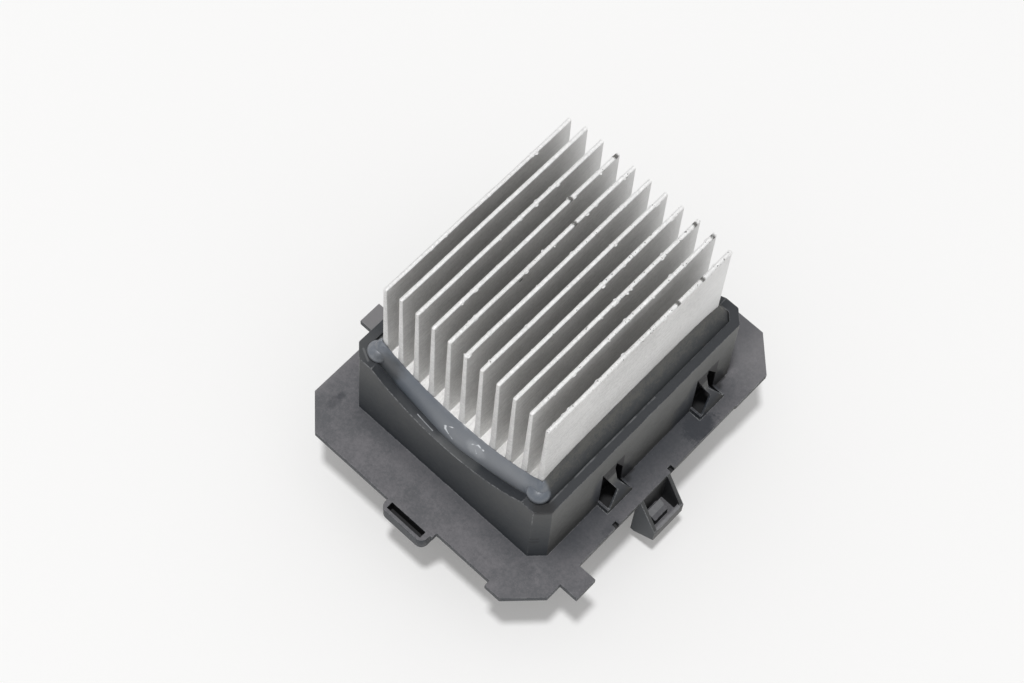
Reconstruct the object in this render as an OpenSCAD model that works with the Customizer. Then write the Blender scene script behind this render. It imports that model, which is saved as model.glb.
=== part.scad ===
// Blower motor resistor module: a finned heat sink potted into a moulded carrier, with its
// circuit board and terminals sealed inside.
// The origin is the centre of the collar on the flange's upper face, and +Z runs up the fins.

/* [Heat sink] */
// Number of fins across the heat sink
fin_count = 11; // [9:1:13]
// Distance from fin to fin
fin_pitch = 4; // [3.6:0.1:4.4]
// Thickness of a fin at its tip
fin_tip_t = 0.8; // [0.6:0.1:1]
// Thickness of a fin at its foot
fin_foot_t = 1.4; // [1.2:0.1:1.8]
// Height of the fins over the middle of the base
fin_h = 30.2; // [26:0.2:34]
// How much shorter the two outer fins are
outer_fin_drop = 1.6; // [0.4:0.2:3]
// Length of the extrusion along its fins
sink_len = 50.2; // [46:0.2:54]
// Thickness of the base in the middle
base_t = 8.9; // [7.5:0.1:10]
// How much the base thickens towards the outer fins
base_arch = 2.2; // [1:0.2:3]
// Height of the base's underside over the flange
sink_seat_z = 12.6; // [12.2:0.2:14]

/* [Collar] */
// Height of the collar over the flange
collar_h = 22.8; // [21.6:0.2:25]
// Thickness of the collar's wall at its rim
collar_wall = 2; // [1.6:0.1:2.4]
// Leg of the collar's corner cuts
collar_corner = 2.6; // [2:0.1:3.6]
// Widening of each collar face from rim to flange
collar_draft = 0.36; // [0.1:0.02:0.6]
// Depth of the dip in the rim at the fin ends
rim_dip = 6.3; // [4:0.1:6.8]
// Half the width of that dip
rim_dip_half_w = 19.6; // [16:0.2:20.4]
// Potting gap beside the outer fins
side_gap = 2.6; // [2:0.1:3.4]
// Potting gap at the fin ends
end_gap = 2.4; // [2:0.1:3.4]

/* [Inner tub] */
// How far the shelf reaches under the heat sink
shelf_reach = 1.5; // [1:0.1:2.5]
// Thickness of the shelf under the heat sink
shelf_t = 1.8; // [1.4:0.1:2.4]
// Wall of the inner tub
tub_wall = 1.6; // [1.2:0.1:2]
// Thickness of the webs that cross the cored groove
web_t = 1.2; // [0.8:0.1:1.6]
// Distance between those webs
web_pitch = 12; // [10:0.5:16]

/* [Flange] */
// Thickness of the flange
flange_t = 1.6; // [1.5:0.1:3]
// Reach of the flange to each side
flange_half_w = 31.6; // [30.6:0.2:34]
// Reach of the flange at the front, where the loop is
flange_front = 40; // [38:0.2:44]
// Reach of the flange at the back
flange_back = 39.1; // [37:0.2:43]
// Leg of the front left corner cut
left_corner_cut = 6.4; // [5:0.2:8]
// Leg of the other corner cuts
corner_cut = 6.6; // [5:0.1:8]
// Width of the two side tabs
tab_w = 5.5; // [4:0.1:7]
// How far the side tabs stand out
tab_reach = 4.3; // [3:0.1:6]
// Place of the right tab's middle along Y
right_tab_y = -26.9; // [-28:0.1:-24]
// Place of the left tab's middle along Y
left_tab_y = -13.5; // [-16:0.1:-6]
// Depth of the shallow step in the front edge
edge_step = 1.3; // [0.6:0.1:2]
// Width of that step
edge_step_w = 14; // [10:0.5:16]
// Step outwards of the right edge behind the second lug
right_step = 0.2; // [0.2:0.1:1]
// Place along Y where that step starts
right_step_y = 22.5; // [20:0.5:26]
// Width of the relief notches beside the latch bracket
notch_w = 1; // [0.6:0.1:1.4]
// Depth of the ribs under the flange
flange_rib_h = 2.4; // [1.6:0.2:4]
// Distance between those ribs
flange_rib_pitch = 16; // [12:0.5:18]

/* [Front loop] */
// Outer length of the loop
loop_w = 11.4; // [9:0.2:14]
// How far the loop stands out
loop_reach = 2.3; // [1.8:0.1:3.4]
// Height of the loop
loop_h = 3.8; // [2.6:0.1:4.6]
// Thickness of the loop's bar
loop_wall = 0.8; // [0.7:0.1:1.2]
// Thickness of the loop's two ends
loop_end_wall = 1.2; // [0.8:0.1:1.6]
// Place of the loop's middle along X
loop_x = 0.7; // [-2:0.1:2]
// Radius of the loop's outer corners
loop_corner_r = 1.6; // [0.6:0.1:1.7]

/* [Latch bracket] */
// Width of the bracket over its gussets
latch_w = 8.9; // [7:0.1:10]
// Place of the bracket's middle along Y
latch_y = -1.75; // [-4:0.05:2]
// How far the bracket stands out from the flange edge
latch_reach = 4.9; // [4:0.1:6.5]
// Depth of the sloping edge below the flange's upper face
latch_slope_h = 8.8; // [7:0.1:10]
// Height of the end bar
latch_bar_h = 3.6; // [2.6:0.1:4.6]
// Depth of the bracket where it meets its back wall
latch_back_h = 16; // [15.2:0.2:17]
// Wall of the bracket
latch_wall = 0.9; // [0.7:0.1:1.5]
// Width of the catch inside the bracket
catch_w = 4; // [2.6:0.1:4.4]
// How far the catch stands off the bracket's middle
catch_shift = -0.2; // [-0.6:0.1:0.6]
// Slot between the catch and the end bar
catch_gap = 0.9; // [0.7:0.1:1.6]
// How far the catch's top lies below the end bar's, negative for above
catch_drop = -0.8; // [-1.6:0.2:1]
// Fall of the catch's sloping top
catch_ramp = 1.2; // [0.4:0.1:2]
// How far outside the flange edge the catch's raised part starts
catch_inset = 0.7; // [0.4:0.1:1]
// Depth of the trough between that part and the back wall
catch_trough = 2.2; // [1.2:0.1:2.4]
// Thickness of the web that closes the bracket below
latch_web_t = 0.8; // [0.6:0.1:1.2]

/* [Snap lugs] */
// How far a lug stands out from the collar
lug_reach = 2.8; // [2.2:0.1:3.6]
// Length of a lug along the collar
lug_len = 7.3; // [6:0.1:8]
// Height of a lug's sloping web
lug_h = 12; // [9:0.2:12.6]
// Height of a lug's rim over the flange
lug_rim_h = 1.6; // [1.2:0.1:2.4]
// Thickness of a lug's rim
lug_rim_t = 0.5; // [0.4:0.1:1.1]
// Height of the knee where the web meets the lug's thin face
lug_knee_h = 5.2; // [4.4:0.1:6]
// Share of the lug's reach at which that knee lies
lug_knee_share = 0.72; // [0.6:0.02:0.8]
// Place of the web's left edge at the knee, from the lug's middle
lug_knee_y = -0.2; // [-0.6:0.1:0.4]
// Place of the web's right edge on the first lug, from the lug's middle
first_waist_y = 0.4; // [0.2:0.1:1]
// Place of the web's right edge on the second lug, from the lug's middle
second_waist_y = -0.3; // [-0.4:0.1:1]
// Height at which that edge turns into the thin face's right edge
lug_waist_h = 8; // [7:0.1:9]
// Height of the two windows beside the web
lug_window_h = 13.9; // [13:0.1:15]
// How far the right window's peak leans over, and by how much it is lower than the left one's
lug_peak_lean = 0.5; // [0.2:0.1:0.8]
// Depth of the hollow that the windows open into, measured into the collar
lug_recess = 1.3; // [0.8:0.1:1.4]
// Depth of that hollow below the flange's upper face
lug_pocket = 1; // [0.4:0.1:1.2]
// Place of the first lug along Y
first_lug_y = -8.8; // [-12:0.1:-4]
// Place of the second lug along Y
second_lug_y = 19; // [14:0.1:20]

/* [Potting] */
// How far the potting climbs the outer fins above the rim
bead_side_rise = 6.2; // [4:0.1:7.5]
// How far it climbs at the corners above the rim
bead_corner_rise = 4.4; // [3:0.1:6]
// How far below the rim it meets the collar at the sides
bead_side_drop = 0.8; // [0.4:0.1:1.6]
// How far below the rim it meets the collar in the dip
bead_end_drop = 2.7; // [1.6:0.1:2.8]
// Swell of the potting's surface
bead_swell = 0.7; // [0:0.1:1.2]

/* [Sockets] */
// Reach of the sockets below the flange's upper face
socket_reach = 20; // [17:0.5:24]
// Wall of the sockets
socket_wall = 1.6; // [1.2:0.1:2]
// Inner depth of the power socket along Y
power_in_d = 12.8; // [10.4:0.1:13.2]
// Room beside the outer power blades
power_end_room = 2; // [1.4:0.1:2.2]
// Place of the power socket's middle along Y
power_y = -9.2; // [-10:0.1:-9]
// Inner depth of the signal socket along Y
signal_in_d = 10.4; // [9.2:0.1:11]
// Room beside the outer signal pins
signal_end_room = 2.2; // [1.6:0.1:3]
// Place of the signal socket's middle along Y
signal_y = 11.6; // [10.6:0.1:12]
// Corner cut of the sockets
socket_corner = 1.8; // [1:0.1:2.4]
// Width of the lock nose on each socket
lock_w = 6; // [4:0.1:8]
// How far the lock nose stands out
lock_reach = 1.6; // [1:0.1:2.2]
// Height of the lock nose
lock_h = 4.6; // [3.6:0.2:6]
// Distance of the key ribs from the socket's ends
key_rib_inset = 4.4; // [3.4:0.1:5.2]
// Height of the key ribs
key_rib_h = 0.9; // [0.6:0.1:1]

/* [Terminals] */
// Distance between power blades
blade_pitch = 8; // [7.8:0.05:8.1]
// Width of a power blade
blade_w = 6.3; // [5.8:0.1:6.5]
// Thickness of blades and pins
blade_t = 0.8; // [0.6:0.1:1]
// Reach of blades and pins below the flange's upper face
blade_reach = 14; // [11:0.5:16]
// Distance between signal pins
pin_pitch = 5; // [4.4:0.1:5.4]
// Width of a signal pin
pin_w = 2.8; // [2.2:0.1:3]
// Room between a terminal and its slot, on each face
slot_room = 0.1; // [0.05:0.05:0.2]
// Width of a terminal's solder tail
tail_w = 1.6; // [1.2:0.1:1.8]

/* [Circuit board] */
// Thickness of the board
board_t = 1.6; // [1.2:0.1:2]
// Room between the board and the tub's walls
board_room = 1.2; // [0.8:0.1:2]
// Length of the spacers between board and heat sink
spacer_len = 8; // [7:0.1:8.4]
// Outer radius of a spacer
spacer_r = 2.75; // [2.4:0.05:3]
// Distance of a board screw from the board's edges
screw_inset = 3.6; // [3.4:0.1:4.4]
// Thread radius of the screws
screw_r = 1.5; // [1.25:0.05:1.6]
// Radius of a screw head
screw_head_r = 2.75; // [2.4:0.05:3]
// Height of a screw head
screw_head_h = 1.9; // [1.4:0.1:2.1]
// Depth of the tapped holes in the heat sink
tapped_depth = 5.5; // [4.5:0.1:6]

/* [Power transistors] */
// Distance of each transistor from the middle
transistor_x = 8.5; // [7.4:0.1:9]
// Width of a transistor
transistor_w = 10.2; // [9.6:0.1:10.6]
// Length of a transistor's moulded body
transistor_body_len = 9.2; // [8.6:0.1:9.8]
// Thickness of a transistor's body
transistor_t = 4.4; // [4:0.1:4.8]
// Thickness of its metal tab
transistor_tab_t = 1.3; // [1:0.1:1.5]
// Length of the tab beyond the body
transistor_tab_len = 6.4; // [6:0.1:7]
// Place of the transistors' screws along Y
transistor_screw_y = 8.6; // [8:0.1:10]
// Thickness of the insulating pad
pad_t = 0.3; // [0.2:0.05:0.5]

/* [Hidden] */
$fn = 48;
// Overlap that lets a cut pass a face
cut = 1;
// Radial room between a screw and its tapped hole
thread_room = 0.03;
// Tapped depth left free below a screw
thread_runout = 0.6;
// Radial room between a screw and a plain hole
plain_room = 0.15;

// Heat sink
fin_span = (fin_count - 1) * fin_pitch;
base_half_w = (fin_span + fin_foot_t) / 2;
sink_half_len = sink_len / 2;
base_top_z = sink_seat_z + base_t;
fin_top_z = base_top_z + fin_h;

// Collar and its well
well_half_w = base_half_w + side_gap;
well_half_len = sink_half_len + end_gap;
well_corner = collar_corner - collar_wall * (2 - sqrt(2));
collar_half_w = well_half_w + collar_wall;
collar_half_len = well_half_len + collar_wall;
collar_foot_half_w = collar_half_w + collar_draft;
dip_r = (rim_dip_half_w * rim_dip_half_w + rim_dip * rim_dip) / (2 * rim_dip);
dip_centre_z = collar_h - rim_dip + dip_r;

// Steps of the potting's loft, along each end, along each side and across the bead
end_steps = 20;
side_steps = 8;
bead_rings = 4;

// Flange, bracket and socket details
step_gap = 0.6;
notch_front_gap = 7.3;
notch_back_gap = 0.3;
rib_margin = 1.6;
latch_back_inset = 0.9;
bar_lift = 0.3;
end_web_spread = 1.25;
nose_foot = 2.4;
nose_lip = 1.2;

// Snap lugs, each with its place along Y and the place of its web's right edge
lugs = [[first_lug_y, first_waist_y], [second_lug_y, second_waist_y]];

// Inner tub
groove_top_z = sink_seat_z - shelf_t;
tub_half_w = base_half_w - shelf_reach;
tub_half_len = sink_half_len - shelf_reach;

// Circuit board
board_half_w = tub_half_w - board_room;
board_half_len = tub_half_len - board_room;
board_top_z = sink_seat_z - spacer_len;
board_bottom_z = board_top_z - board_t;
board_screw_x = board_half_w - screw_inset;
board_screw_y = board_half_len - screw_inset;

// Sockets and terminals
blade_xs = [for (i = [0:3]) (i - 1.5) * blade_pitch];
pin_xs = [for (i = [-1:1]) i * pin_pitch];
power_in_half_w = 1.5 * blade_pitch + blade_w / 2 + power_end_room;
signal_in_half_w = pin_pitch + pin_w / 2 + signal_end_room;
shoulder_h = 1.4;
shoulder_over = 0.7;
tail_over = 1.2;
tail_spread = (blade_w - tail_w) / 2;

// Components on the board
shunt_at = [5.5, -16.4];
shunt_w = 4;
shunt_t = 0.7;
shunt_half_span = 4.5;
shunt_h = 3.6;
capacitor_at = [-5.4, -13.4];
capacitor_r = 3.4;
capacitor_len = 10.5;
capacitor_lead_r = 0.35;
capacitor_lead_out = 1.6;
radial_lead_half_pitch = 1.25;
thermistor_at = [0, 3];
thermistor_r = 1.7;
thermistor_lead_r = 0.3;
diode_at = [-15.7, -2];
diode_body = [3.8, 6.6, 2.4];
diode_lead = [2.2, 8.2, 0.9];
driver_at = [0, 18];
driver_body = [8.6, 3.9, 1.7];
driver_lead = [0.42, 6, 0.5];
driver_lead_pitch = 1.27;
body_lift = 0.2;
chip_resistor_count = 6;
chip_resistor_pitch = 5;
chip_resistor_y = 13.6;
chip_resistor_size = [2, 1.25, 0.55];
chip_capacitor_x = 6.6;
chip_capacitor_pitch = 2.8;
chip_capacitor_y = 18.2;
chip_capacitor_size = [2, 1.25, 0.9];
lead_hole_r = 0.62;
lead_below = 0.6;

// Transistors hang under the heat sink with their tabs up
pad_bottom_z = sink_seat_z - pad_t;
transistor_body_back = 3.4;
transistor_body_y = transistor_screw_y - transistor_body_back;
lead_w = 0.8;
lead_t = 0.5;
lead_pitch = 2.54;
lead_out = 3;
lead_drop = 2.6;
lead_y = transistor_body_y - transistor_body_len - lead_out;

// Outline of a rectangle with its corners cut at 45 degrees
function cut_rect(hx, hy, c) = [
  [-hx + c, -hy], [hx - c, -hy], [hx, -hy + c], [hx, hy - c],
  [hx - c, hy], [-hx + c, hy], [-hx, hy - c], [-hx, -hy + c]
];

// Height of the collar's rim above a place along X, at the fin ends
function rim_z(x) =
  abs(x) < rim_dip_half_w ? dip_centre_z - sqrt(dip_r * dip_r - x * x) : collar_h;

// Height of the base's upper face between the fins
function base_z(x) = base_top_z + base_arch * pow(abs(x) / base_half_w, 2.4);

// Plain block from one corner to the other
module block(low, high) {
  translate(low) cube(high - low);
}

// Slab across X whose two faces lean in towards the top
module drafted_slab(half, h, draft) {
  rotate([90, 0, 0])
    linear_extrude(height = 4 * collar_half_len, center = true)
      polygon([[-half - draft, 0], [half + draft, 0], [half, h], [-half, h]]);
}

// Eight-sided block with draft on every face
module drafted_block(hx, hy, c, h, draft) {
  corner_half = (hx + hy - c) / sqrt(2);
  intersection() {
    drafted_slab(hx, h, draft);
    rotate([0, 0, 90]) drafted_slab(hy, h, draft);
    rotate([0, 0, 45]) drafted_slab(corner_half, h, draft);
    rotate([0, 0, -45]) drafted_slab(corner_half, h, draft);
  }
}

// Upright eight-sided prism between two heights
module prism(hx, hy, c, z0, z1) {
  translate([0, 0, z0]) linear_extrude(height = z1 - z0) polygon(cut_rect(hx, hy, c));
}

// Section in the XZ plane, swept along Y from y0 to y1
module swept_y(points, y0, y1) {
  translate([0, y1, 0]) rotate([90, 0, 0]) linear_extrude(height = y1 - y0) polygon(points);
}

// Section in the YZ plane, swept along X from x0 to x1
module swept_x(points, x0, x1) {
  translate([x0, 0, 0]) rotate([90, 0, 90]) linear_extrude(height = x1 - x0) polygon(points);
}

// Flange plate: cut corners, two side tabs and the shallow step in the front edge
module flange_plate() {
  step_x0 = loop_x + loop_w / 2 + step_gap;
  translate([0, 0, -flange_t])
    linear_extrude(height = flange_t)
      difference() {
        union() {
          polygon([
            [-flange_half_w + left_corner_cut, -flange_front],
            [flange_half_w - corner_cut, -flange_front],
            [flange_half_w, -flange_front + corner_cut],
            [flange_half_w, right_step_y],
            [flange_half_w + right_step, right_step_y + 2 * right_step],
            [flange_half_w + right_step, flange_back - corner_cut - right_step],
            [flange_half_w - corner_cut, flange_back],
            [-flange_half_w + corner_cut, flange_back],
            [-flange_half_w, flange_back - corner_cut],
            [-flange_half_w, -flange_front + left_corner_cut]
          ]);
          translate([flange_half_w - cut, right_tab_y - tab_w / 2]) square([tab_reach + cut, tab_w]);
          translate([-flange_half_w - tab_reach, left_tab_y - tab_w / 2]) square([tab_reach + cut, tab_w]);
        }
        translate([step_x0, -flange_front - cut]) square([edge_step_w, edge_step + cut]);
        for (y = [latch_y - latch_w / 2 - notch_front_gap, latch_y + latch_w / 2 + notch_back_gap])
          translate([flange_half_w - notch_w, y]) square([notch_w + cut, notch_w]);
      }
}

// Ribs under the flange, from the cored groove towards the edges
module flange_ribs() {
  rib_in_y = well_half_len + 1;
  low = -flange_t - flange_rib_h;
  for (k = [-1:1]) {
    x0 = k * flange_rib_pitch - web_t / 2;
    x1 = x0 + web_t;
    block([x0, -flange_front + edge_step + rib_margin, low], [x1, -rib_in_y, -flange_t]);
    block([x0, rib_in_y, low], [x1, flange_back - rib_margin, -flange_t]);
  }
}

// Slotted loop on the front edge
module front_loop() {
  y0 = -flange_front - loop_reach;
  r = loop_corner_r;
  half = loop_w / 2;
  slot_half = half - loop_end_wall;
  difference() {
    translate([0, 0, -loop_h])
      linear_extrude(height = loop_h) {
        translate([loop_x - half, y0 + r]) square([loop_w, loop_reach - r + cut]);
        translate([loop_x - half + r, y0]) square([loop_w - 2 * r, loop_reach]);
        for (s = [-1, 1]) translate([loop_x + s * (half - r), y0 + r]) circle(r);
      }
    block([loop_x - slot_half, y0 + loop_wall, -loop_h - cut], [loop_x + slot_half, -flange_front, cut]);
  }
}

// Bracket under the right edge: two sloping gussets, an end bar, a back wall, a web below and a catch
module latch_bracket() {
  y0 = latch_y - latch_w / 2;
  y1 = latch_y + latch_w / 2;
  edge = flange_half_w;
  back = edge - latch_back_inset;
  end = edge + latch_reach;
  bar_bottom = -latch_slope_h - latch_bar_h;
  gusset = [
    [back, 0], [edge, 0], [end, -latch_slope_h], [end, bar_bottom],
    [back + latch_wall, -latch_back_h], [back, -latch_back_h]
  ];
  for (y = [y0, y1 - latch_wall]) swept_y(gusset, y, y + latch_wall);
  block([end - latch_wall, y0, bar_bottom], [end, y1, -latch_slope_h + bar_lift]);
  block([back, y0, -latch_back_h], [back + latch_wall, y1, -flange_t]);
  block([back, y0, bar_bottom], [end, y1, bar_bottom + latch_web_t]);
  catch_top = -latch_slope_h - catch_drop;
  catch_in = edge + catch_inset;
  catch_out = end - latch_wall - catch_gap;
  catch_y = latch_y - catch_w / 2 + catch_shift;
  catch_section = [
    [back, catch_top - catch_trough], [catch_in, catch_top - catch_trough], [catch_in, catch_top],
    [catch_out, catch_top - catch_ramp], [catch_out, bar_bottom], [back, bar_bottom]
  ];
  swept_y(catch_section, catch_y, catch_y + catch_w);
}

// Outlines along the collar, for a lug at y whose web's right edge stands at waist:
// the web with the thin face below it, and the windows to its left and right
function lug_y0(y) = y - lug_len / 2 + lug_rim_t;
function lug_y1(y) = y + lug_len / 2 - lug_rim_t;
function lug_face(y, waist) = [
  [lug_y0(y), lug_rim_h], [lug_y1(y), lug_rim_h], [y + waist, lug_waist_h],
  [y + waist + lug_peak_lean, lug_window_h - lug_peak_lean], [lug_y0(y), lug_window_h],
  [y + lug_knee_y, lug_knee_h]
];
function left_window(y) = [
  [lug_y0(y), lug_rim_h], [y + lug_knee_y, lug_knee_h], [lug_y0(y), lug_window_h]
];
function right_window(y, waist) = [
  [y + waist, lug_waist_h], [lug_y1(y), lug_rim_h], [lug_y1(y), lug_waist_h],
  [y + waist + lug_peak_lean, lug_window_h - lug_peak_lean]
];

// Solid parts of a snap lug on the right wall: a low rim, and a web that runs out into a thin face
module lug_solid(y, waist) {
  wall = collar_half_w;
  out = collar_foot_half_w + lug_reach;
  in = out - lug_rim_t;
  knee_x = wall + lug_knee_share * (out - wall);
  y0 = lug_y0(y);
  y1 = lug_y1(y);
  block([in, y0 - lug_rim_t, 0], [out, y1 + lug_rim_t, lug_rim_h]);
  for (ye = [y0 - lug_rim_t, y1]) block([wall, ye, 0], [out, ye + lug_rim_t, lug_rim_h]);
  intersection() {
    swept_x(lug_face(y, waist), wall, out);
    swept_y(
      [
        [out, lug_rim_h], [knee_x, lug_knee_h], [wall, lug_h],
        [wall, lug_knee_h + lug_rim_t], [knee_x - lug_rim_t, lug_knee_h], [in, lug_rim_h]
      ],
      y0, y1
    );
  }
}

// Hollow behind a lug's face and the recesses that its two windows open into
module lug_hollow(y, waist) {
  deep = collar_half_w - lug_recess;
  in = collar_foot_half_w + lug_reach - lug_rim_t;
  block([deep, lug_y0(y), -lug_pocket], [collar_foot_half_w, lug_y1(y), lug_knee_h]);
  block([deep, lug_y0(y), -lug_pocket], [in, lug_y1(y), cut / 2]);
  swept_x(left_window(y), deep, collar_foot_half_w);
  swept_x(right_window(y, waist), deep, collar_foot_half_w);
}

// Cored groove between the collar and the inner tub, open below and crossed by webs
module cored_groove() {
  low = -flange_t - 2 * cut;
  high = groove_top_z + cut;
  difference() {
    prism(well_half_w, well_half_len, well_corner, -flange_t - cut, groove_top_z);
    prism(tub_half_w + tub_wall, tub_half_len + tub_wall, well_corner, low, high);
    for (k = [-1.5:1:1.5]) {
      x = k * web_pitch;
      block([x - web_t / 2, -collar_half_len, low], [x + web_t / 2, collar_half_len, high]);
    }
    for (k = [-1:1]) {
      y = end_web_spread * k * web_pitch;
      block([-collar_half_w, y - web_t / 2, low], [collar_half_w, y + web_t / 2, high]);
    }
  }
}

// One socket below the floor, with its lock nose and two key ribs on the face that looks along dir
module socket(y, in_half_w, in_d, dir) {
  hx = in_half_w + socket_wall;
  hy = in_d / 2 + socket_wall;
  nose_low = -socket_reach + nose_foot;
  nose_high = nose_low + lock_h;
  nose_out = dir * (hy + lock_reach);
  rib_x = in_half_w - key_rib_inset;
  rib_y = dir * (in_d / 2 - key_rib_h);
  translate([0, y, 0]) {
    difference() {
      prism(hx, hy, socket_corner, -socket_reach, -flange_t);
      prism(in_half_w, in_d / 2, socket_corner - socket_wall * (2 - sqrt(2)), -socket_reach - cut, -flange_t);
    }
    swept_x(
      [[dir * hy, nose_high], [nose_out, nose_high], [nose_out, nose_high - nose_lip], [dir * hy, nose_low]],
      -lock_w / 2, lock_w / 2
    );
    for (s = [-1, 1])
      translate([s * rib_x, rib_y, -socket_reach + 1])
        linear_extrude(height = socket_reach - 1 - flange_t) square([web_t, 2 * key_rib_h], center = true);
  }
}

// Slot through the floor for one terminal
module terminal_slot(x, y, w) {
  hw = w / 2 + slot_room;
  ht = blade_t / 2 + slot_room;
  block([x - hw, y - ht, -flange_t - cut], [x + hw, y + ht, cut]);
}

// Collar with its well, its rim dipped by one long round cut along Y
module collar() {
  difference() {
    drafted_block(collar_half_w, collar_half_len, collar_corner, collar_h, collar_draft);
    prism(well_half_w, well_half_len, well_corner, sink_seat_z, collar_h + cut);
    translate([0, 0, dip_centre_z])
      rotate([90, 0, 0])
        cylinder(r = dip_r, h = 4 * collar_half_len, center = true, $fn = 96);
  }
}

module housing() {
  color([0.26, 0.27, 0.28])
    difference() {
      union() {
        flange_plate();
        flange_ribs();
        front_loop();
        latch_bracket();
        collar();
        for (lug = lugs) {
          lug_solid(lug[0], lug[1]);
          rotate([0, 0, 180]) lug_solid(-lug[0], lug[1]);
        }
        socket(power_y, power_in_half_w, power_in_d, -1);
        socket(signal_y, signal_in_half_w, signal_in_d, 1);
      }
      prism(tub_half_w, tub_half_len, well_corner, 0, sink_seat_z + cut);
      cored_groove();
      for (lug = lugs) {
        lug_hollow(lug[0], lug[1]);
        rotate([0, 0, 180]) lug_hollow(-lug[0], lug[1]);
      }
      for (x = blade_xs) terminal_slot(x, power_y, blade_w);
      for (x = pin_xs) terminal_slot(x, signal_y, pin_w);
    }
}

// Outline of the extrusion: base, tapered fins and the arched floor between them
function fin_outline(i) =
  let (x = (i - (fin_count - 1) / 2) * fin_pitch)
  let (outer = i == 0 || i == fin_count - 1)
  let (top = fin_top_z - (outer ? outer_fin_drop : 0))
  let (foot_l = x - fin_foot_t / 2)
  let (foot_r = x + fin_foot_t / 2)
  concat(
    i == 0 ? [[foot_l, sink_seat_z]] : [[foot_l, base_z(foot_l)]],
    [[x - fin_tip_t / 2, top], [x + fin_tip_t / 2, top]],
    i == fin_count - 1 ? [[foot_r, sink_seat_z]] : [[foot_r, base_z(foot_r)]]
  );

module heat_sink() {
  outline = [for (i = [0:fin_count - 1]) each fin_outline(i)];
  color([0.74, 0.74, 0.73])
    difference() {
      swept_y(outline, -sink_half_len, sink_half_len);
      for (s = [-1, 1]) {
        tapped_hole(s * transistor_x, transistor_screw_y);
        for (t = [-1, 1]) tapped_hole(s * board_screw_x, t * board_screw_y);
      }
    }
}

// Blind tapped hole in the heat sink's underside
module tapped_hole(x, y) {
  translate([x, y, sink_seat_z - cut]) cylinder(r = screw_r + thread_room, h = tapped_depth + cut);
}

// Evenly spaced points from a towards b, without b
function along(a, b, n) = [for (i = [0:n - 1]) a + (b - a) * i / n];

// Stations around a rectangle whose corners are cut, with one more station in each corner:
// square is 0 to leave it on the cut and 1 to take it out to the square corner
function stations(hx, hy, c, square) =
  let (p = cut_rect(hx, hy, c))
  [for (k = [0:3])
    let (a = p[2 * k])
    let (b = p[2 * k + 1])
    let (d = p[(2 * k + 2) % 8])
    let (middle = (b + d) / 2)
    let (corner = k % 2 == 0 ? [d.x, b.y] : [b.x, d.y])
    each concat(along(a, b, k % 2 == 0 ? end_steps : side_steps), [b, middle + (corner - middle) * square])];

// Height at which the potting meets the collar
function bead_wall_z(p) =
  let (u = min(1, abs(p.x) / rim_dip_half_w))
  abs(p.y) > well_half_len - 0.01
    ? rim_z(p.x) - bead_side_drop - (bead_end_drop - bead_side_drop) * (1 - u * u)
    : collar_h - bead_side_drop;

// Height at which it meets the heat sink
function bead_sink_z(p) =
  let (corner_z = collar_h + bead_corner_rise)
  let (v = min(1, abs(p.y) / sink_half_len))
  abs(p.y) > sink_half_len - 0.01
    ? base_top_z + (corner_z - base_top_z) * pow(min(1, abs(p.x) / base_half_w), 2.2)
    : corner_z + (bead_side_rise - bead_corner_rise) * (1 - pow(v, 6));

// Potting: a bead lofted from the collar's wall up to the heat sink, around all four sides
module potting() {
  wall = stations(well_half_w, well_half_len, well_corner, 0);
  foot = stations(base_half_w, sink_half_len, well_corner, 1);
  n = len(wall);
  function bead_ring(t) = [for (i = [0:n - 1])
    let (q = wall[i] + (foot[i] - wall[i]) * t)
    let (z0 = bead_wall_z(wall[i]))
    let (z1 = bead_sink_z(foot[i]))
    [q.x, q.y, z0 + (z1 - z0) * pow(t, 1.5) + bead_swell * sin(180 * t)]];
  rings = concat(
    [[for (p = foot) [p.x, p.y, sink_seat_z]], [for (p = wall) [p.x, p.y, sink_seat_z]]],
    [for (k = [0:bead_rings]) bead_ring(k / bead_rings)]
  );
  m = len(rings);
  faces = [for (k = [0:m - 1]) for (i = [0:n - 1])
    let (a = k * n + i)
    let (b = k * n + (i + 1) % n)
    let (c = ((k + 1) % m) * n + (i + 1) % n)
    let (d = ((k + 1) % m) * n + i)
    each [[a, d, c], [a, c, b]]];
  color([0.36, 0.38, 0.41]) polyhedron(points = [for (r = rings) each r], faces = faces);
}

module circuit_board() {
  color([0.12, 0.36, 0.2])
    difference() {
      block([-board_half_w, -board_half_len, board_bottom_z], [board_half_w, board_half_len, board_top_z]);
      for (s = [-1, 1], t = [-1, 1]) board_hole(s * board_screw_x, t * board_screw_y, screw_r + plain_room);
      for (x = blade_xs, s = [-1, 1]) tail_hole(x + s * tail_spread, power_y);
      for (x = pin_xs) tail_hole(x, signal_y);
      for (s = [-1, 1], k = [-1:1]) board_hole(s * transistor_x + k * lead_pitch, lead_y, lead_hole_r);
      for (s = [-1, 1]) {
        board_hole(capacitor_lead_x, capacitor_at.y + s * radial_lead_half_pitch, lead_hole_r);
        board_hole(thermistor_at.x + s * radial_lead_half_pitch, thermistor_at.y, lead_hole_r);
        shunt_hole(shunt_at.x + s * shunt_half_span);
      }
    }
}

// Slot in the board for one leg of the shunt
module shunt_hole(x) {
  hw = shunt_t / 2 + slot_room;
  hd = shunt_w / 2 + slot_room;
  block([x - hw, shunt_at.y - hd, board_bottom_z - cut], [x + hw, shunt_at.y + hd, board_top_z + cut]);
}

// Hole in the board for a terminal's tail
module tail_hole(x, y) {
  hw = tail_w / 2 + slot_room;
  ht = blade_t / 2 + slot_room;
  block([x - hw, y - ht, board_bottom_z - cut], [x + hw, y + ht, board_top_z + cut]);
}

// Round hole through the board
module board_hole(x, y, r) {
  translate([x, y, board_bottom_z - cut]) cylinder(r = r, h = board_t + 2 * cut);
}

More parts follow.
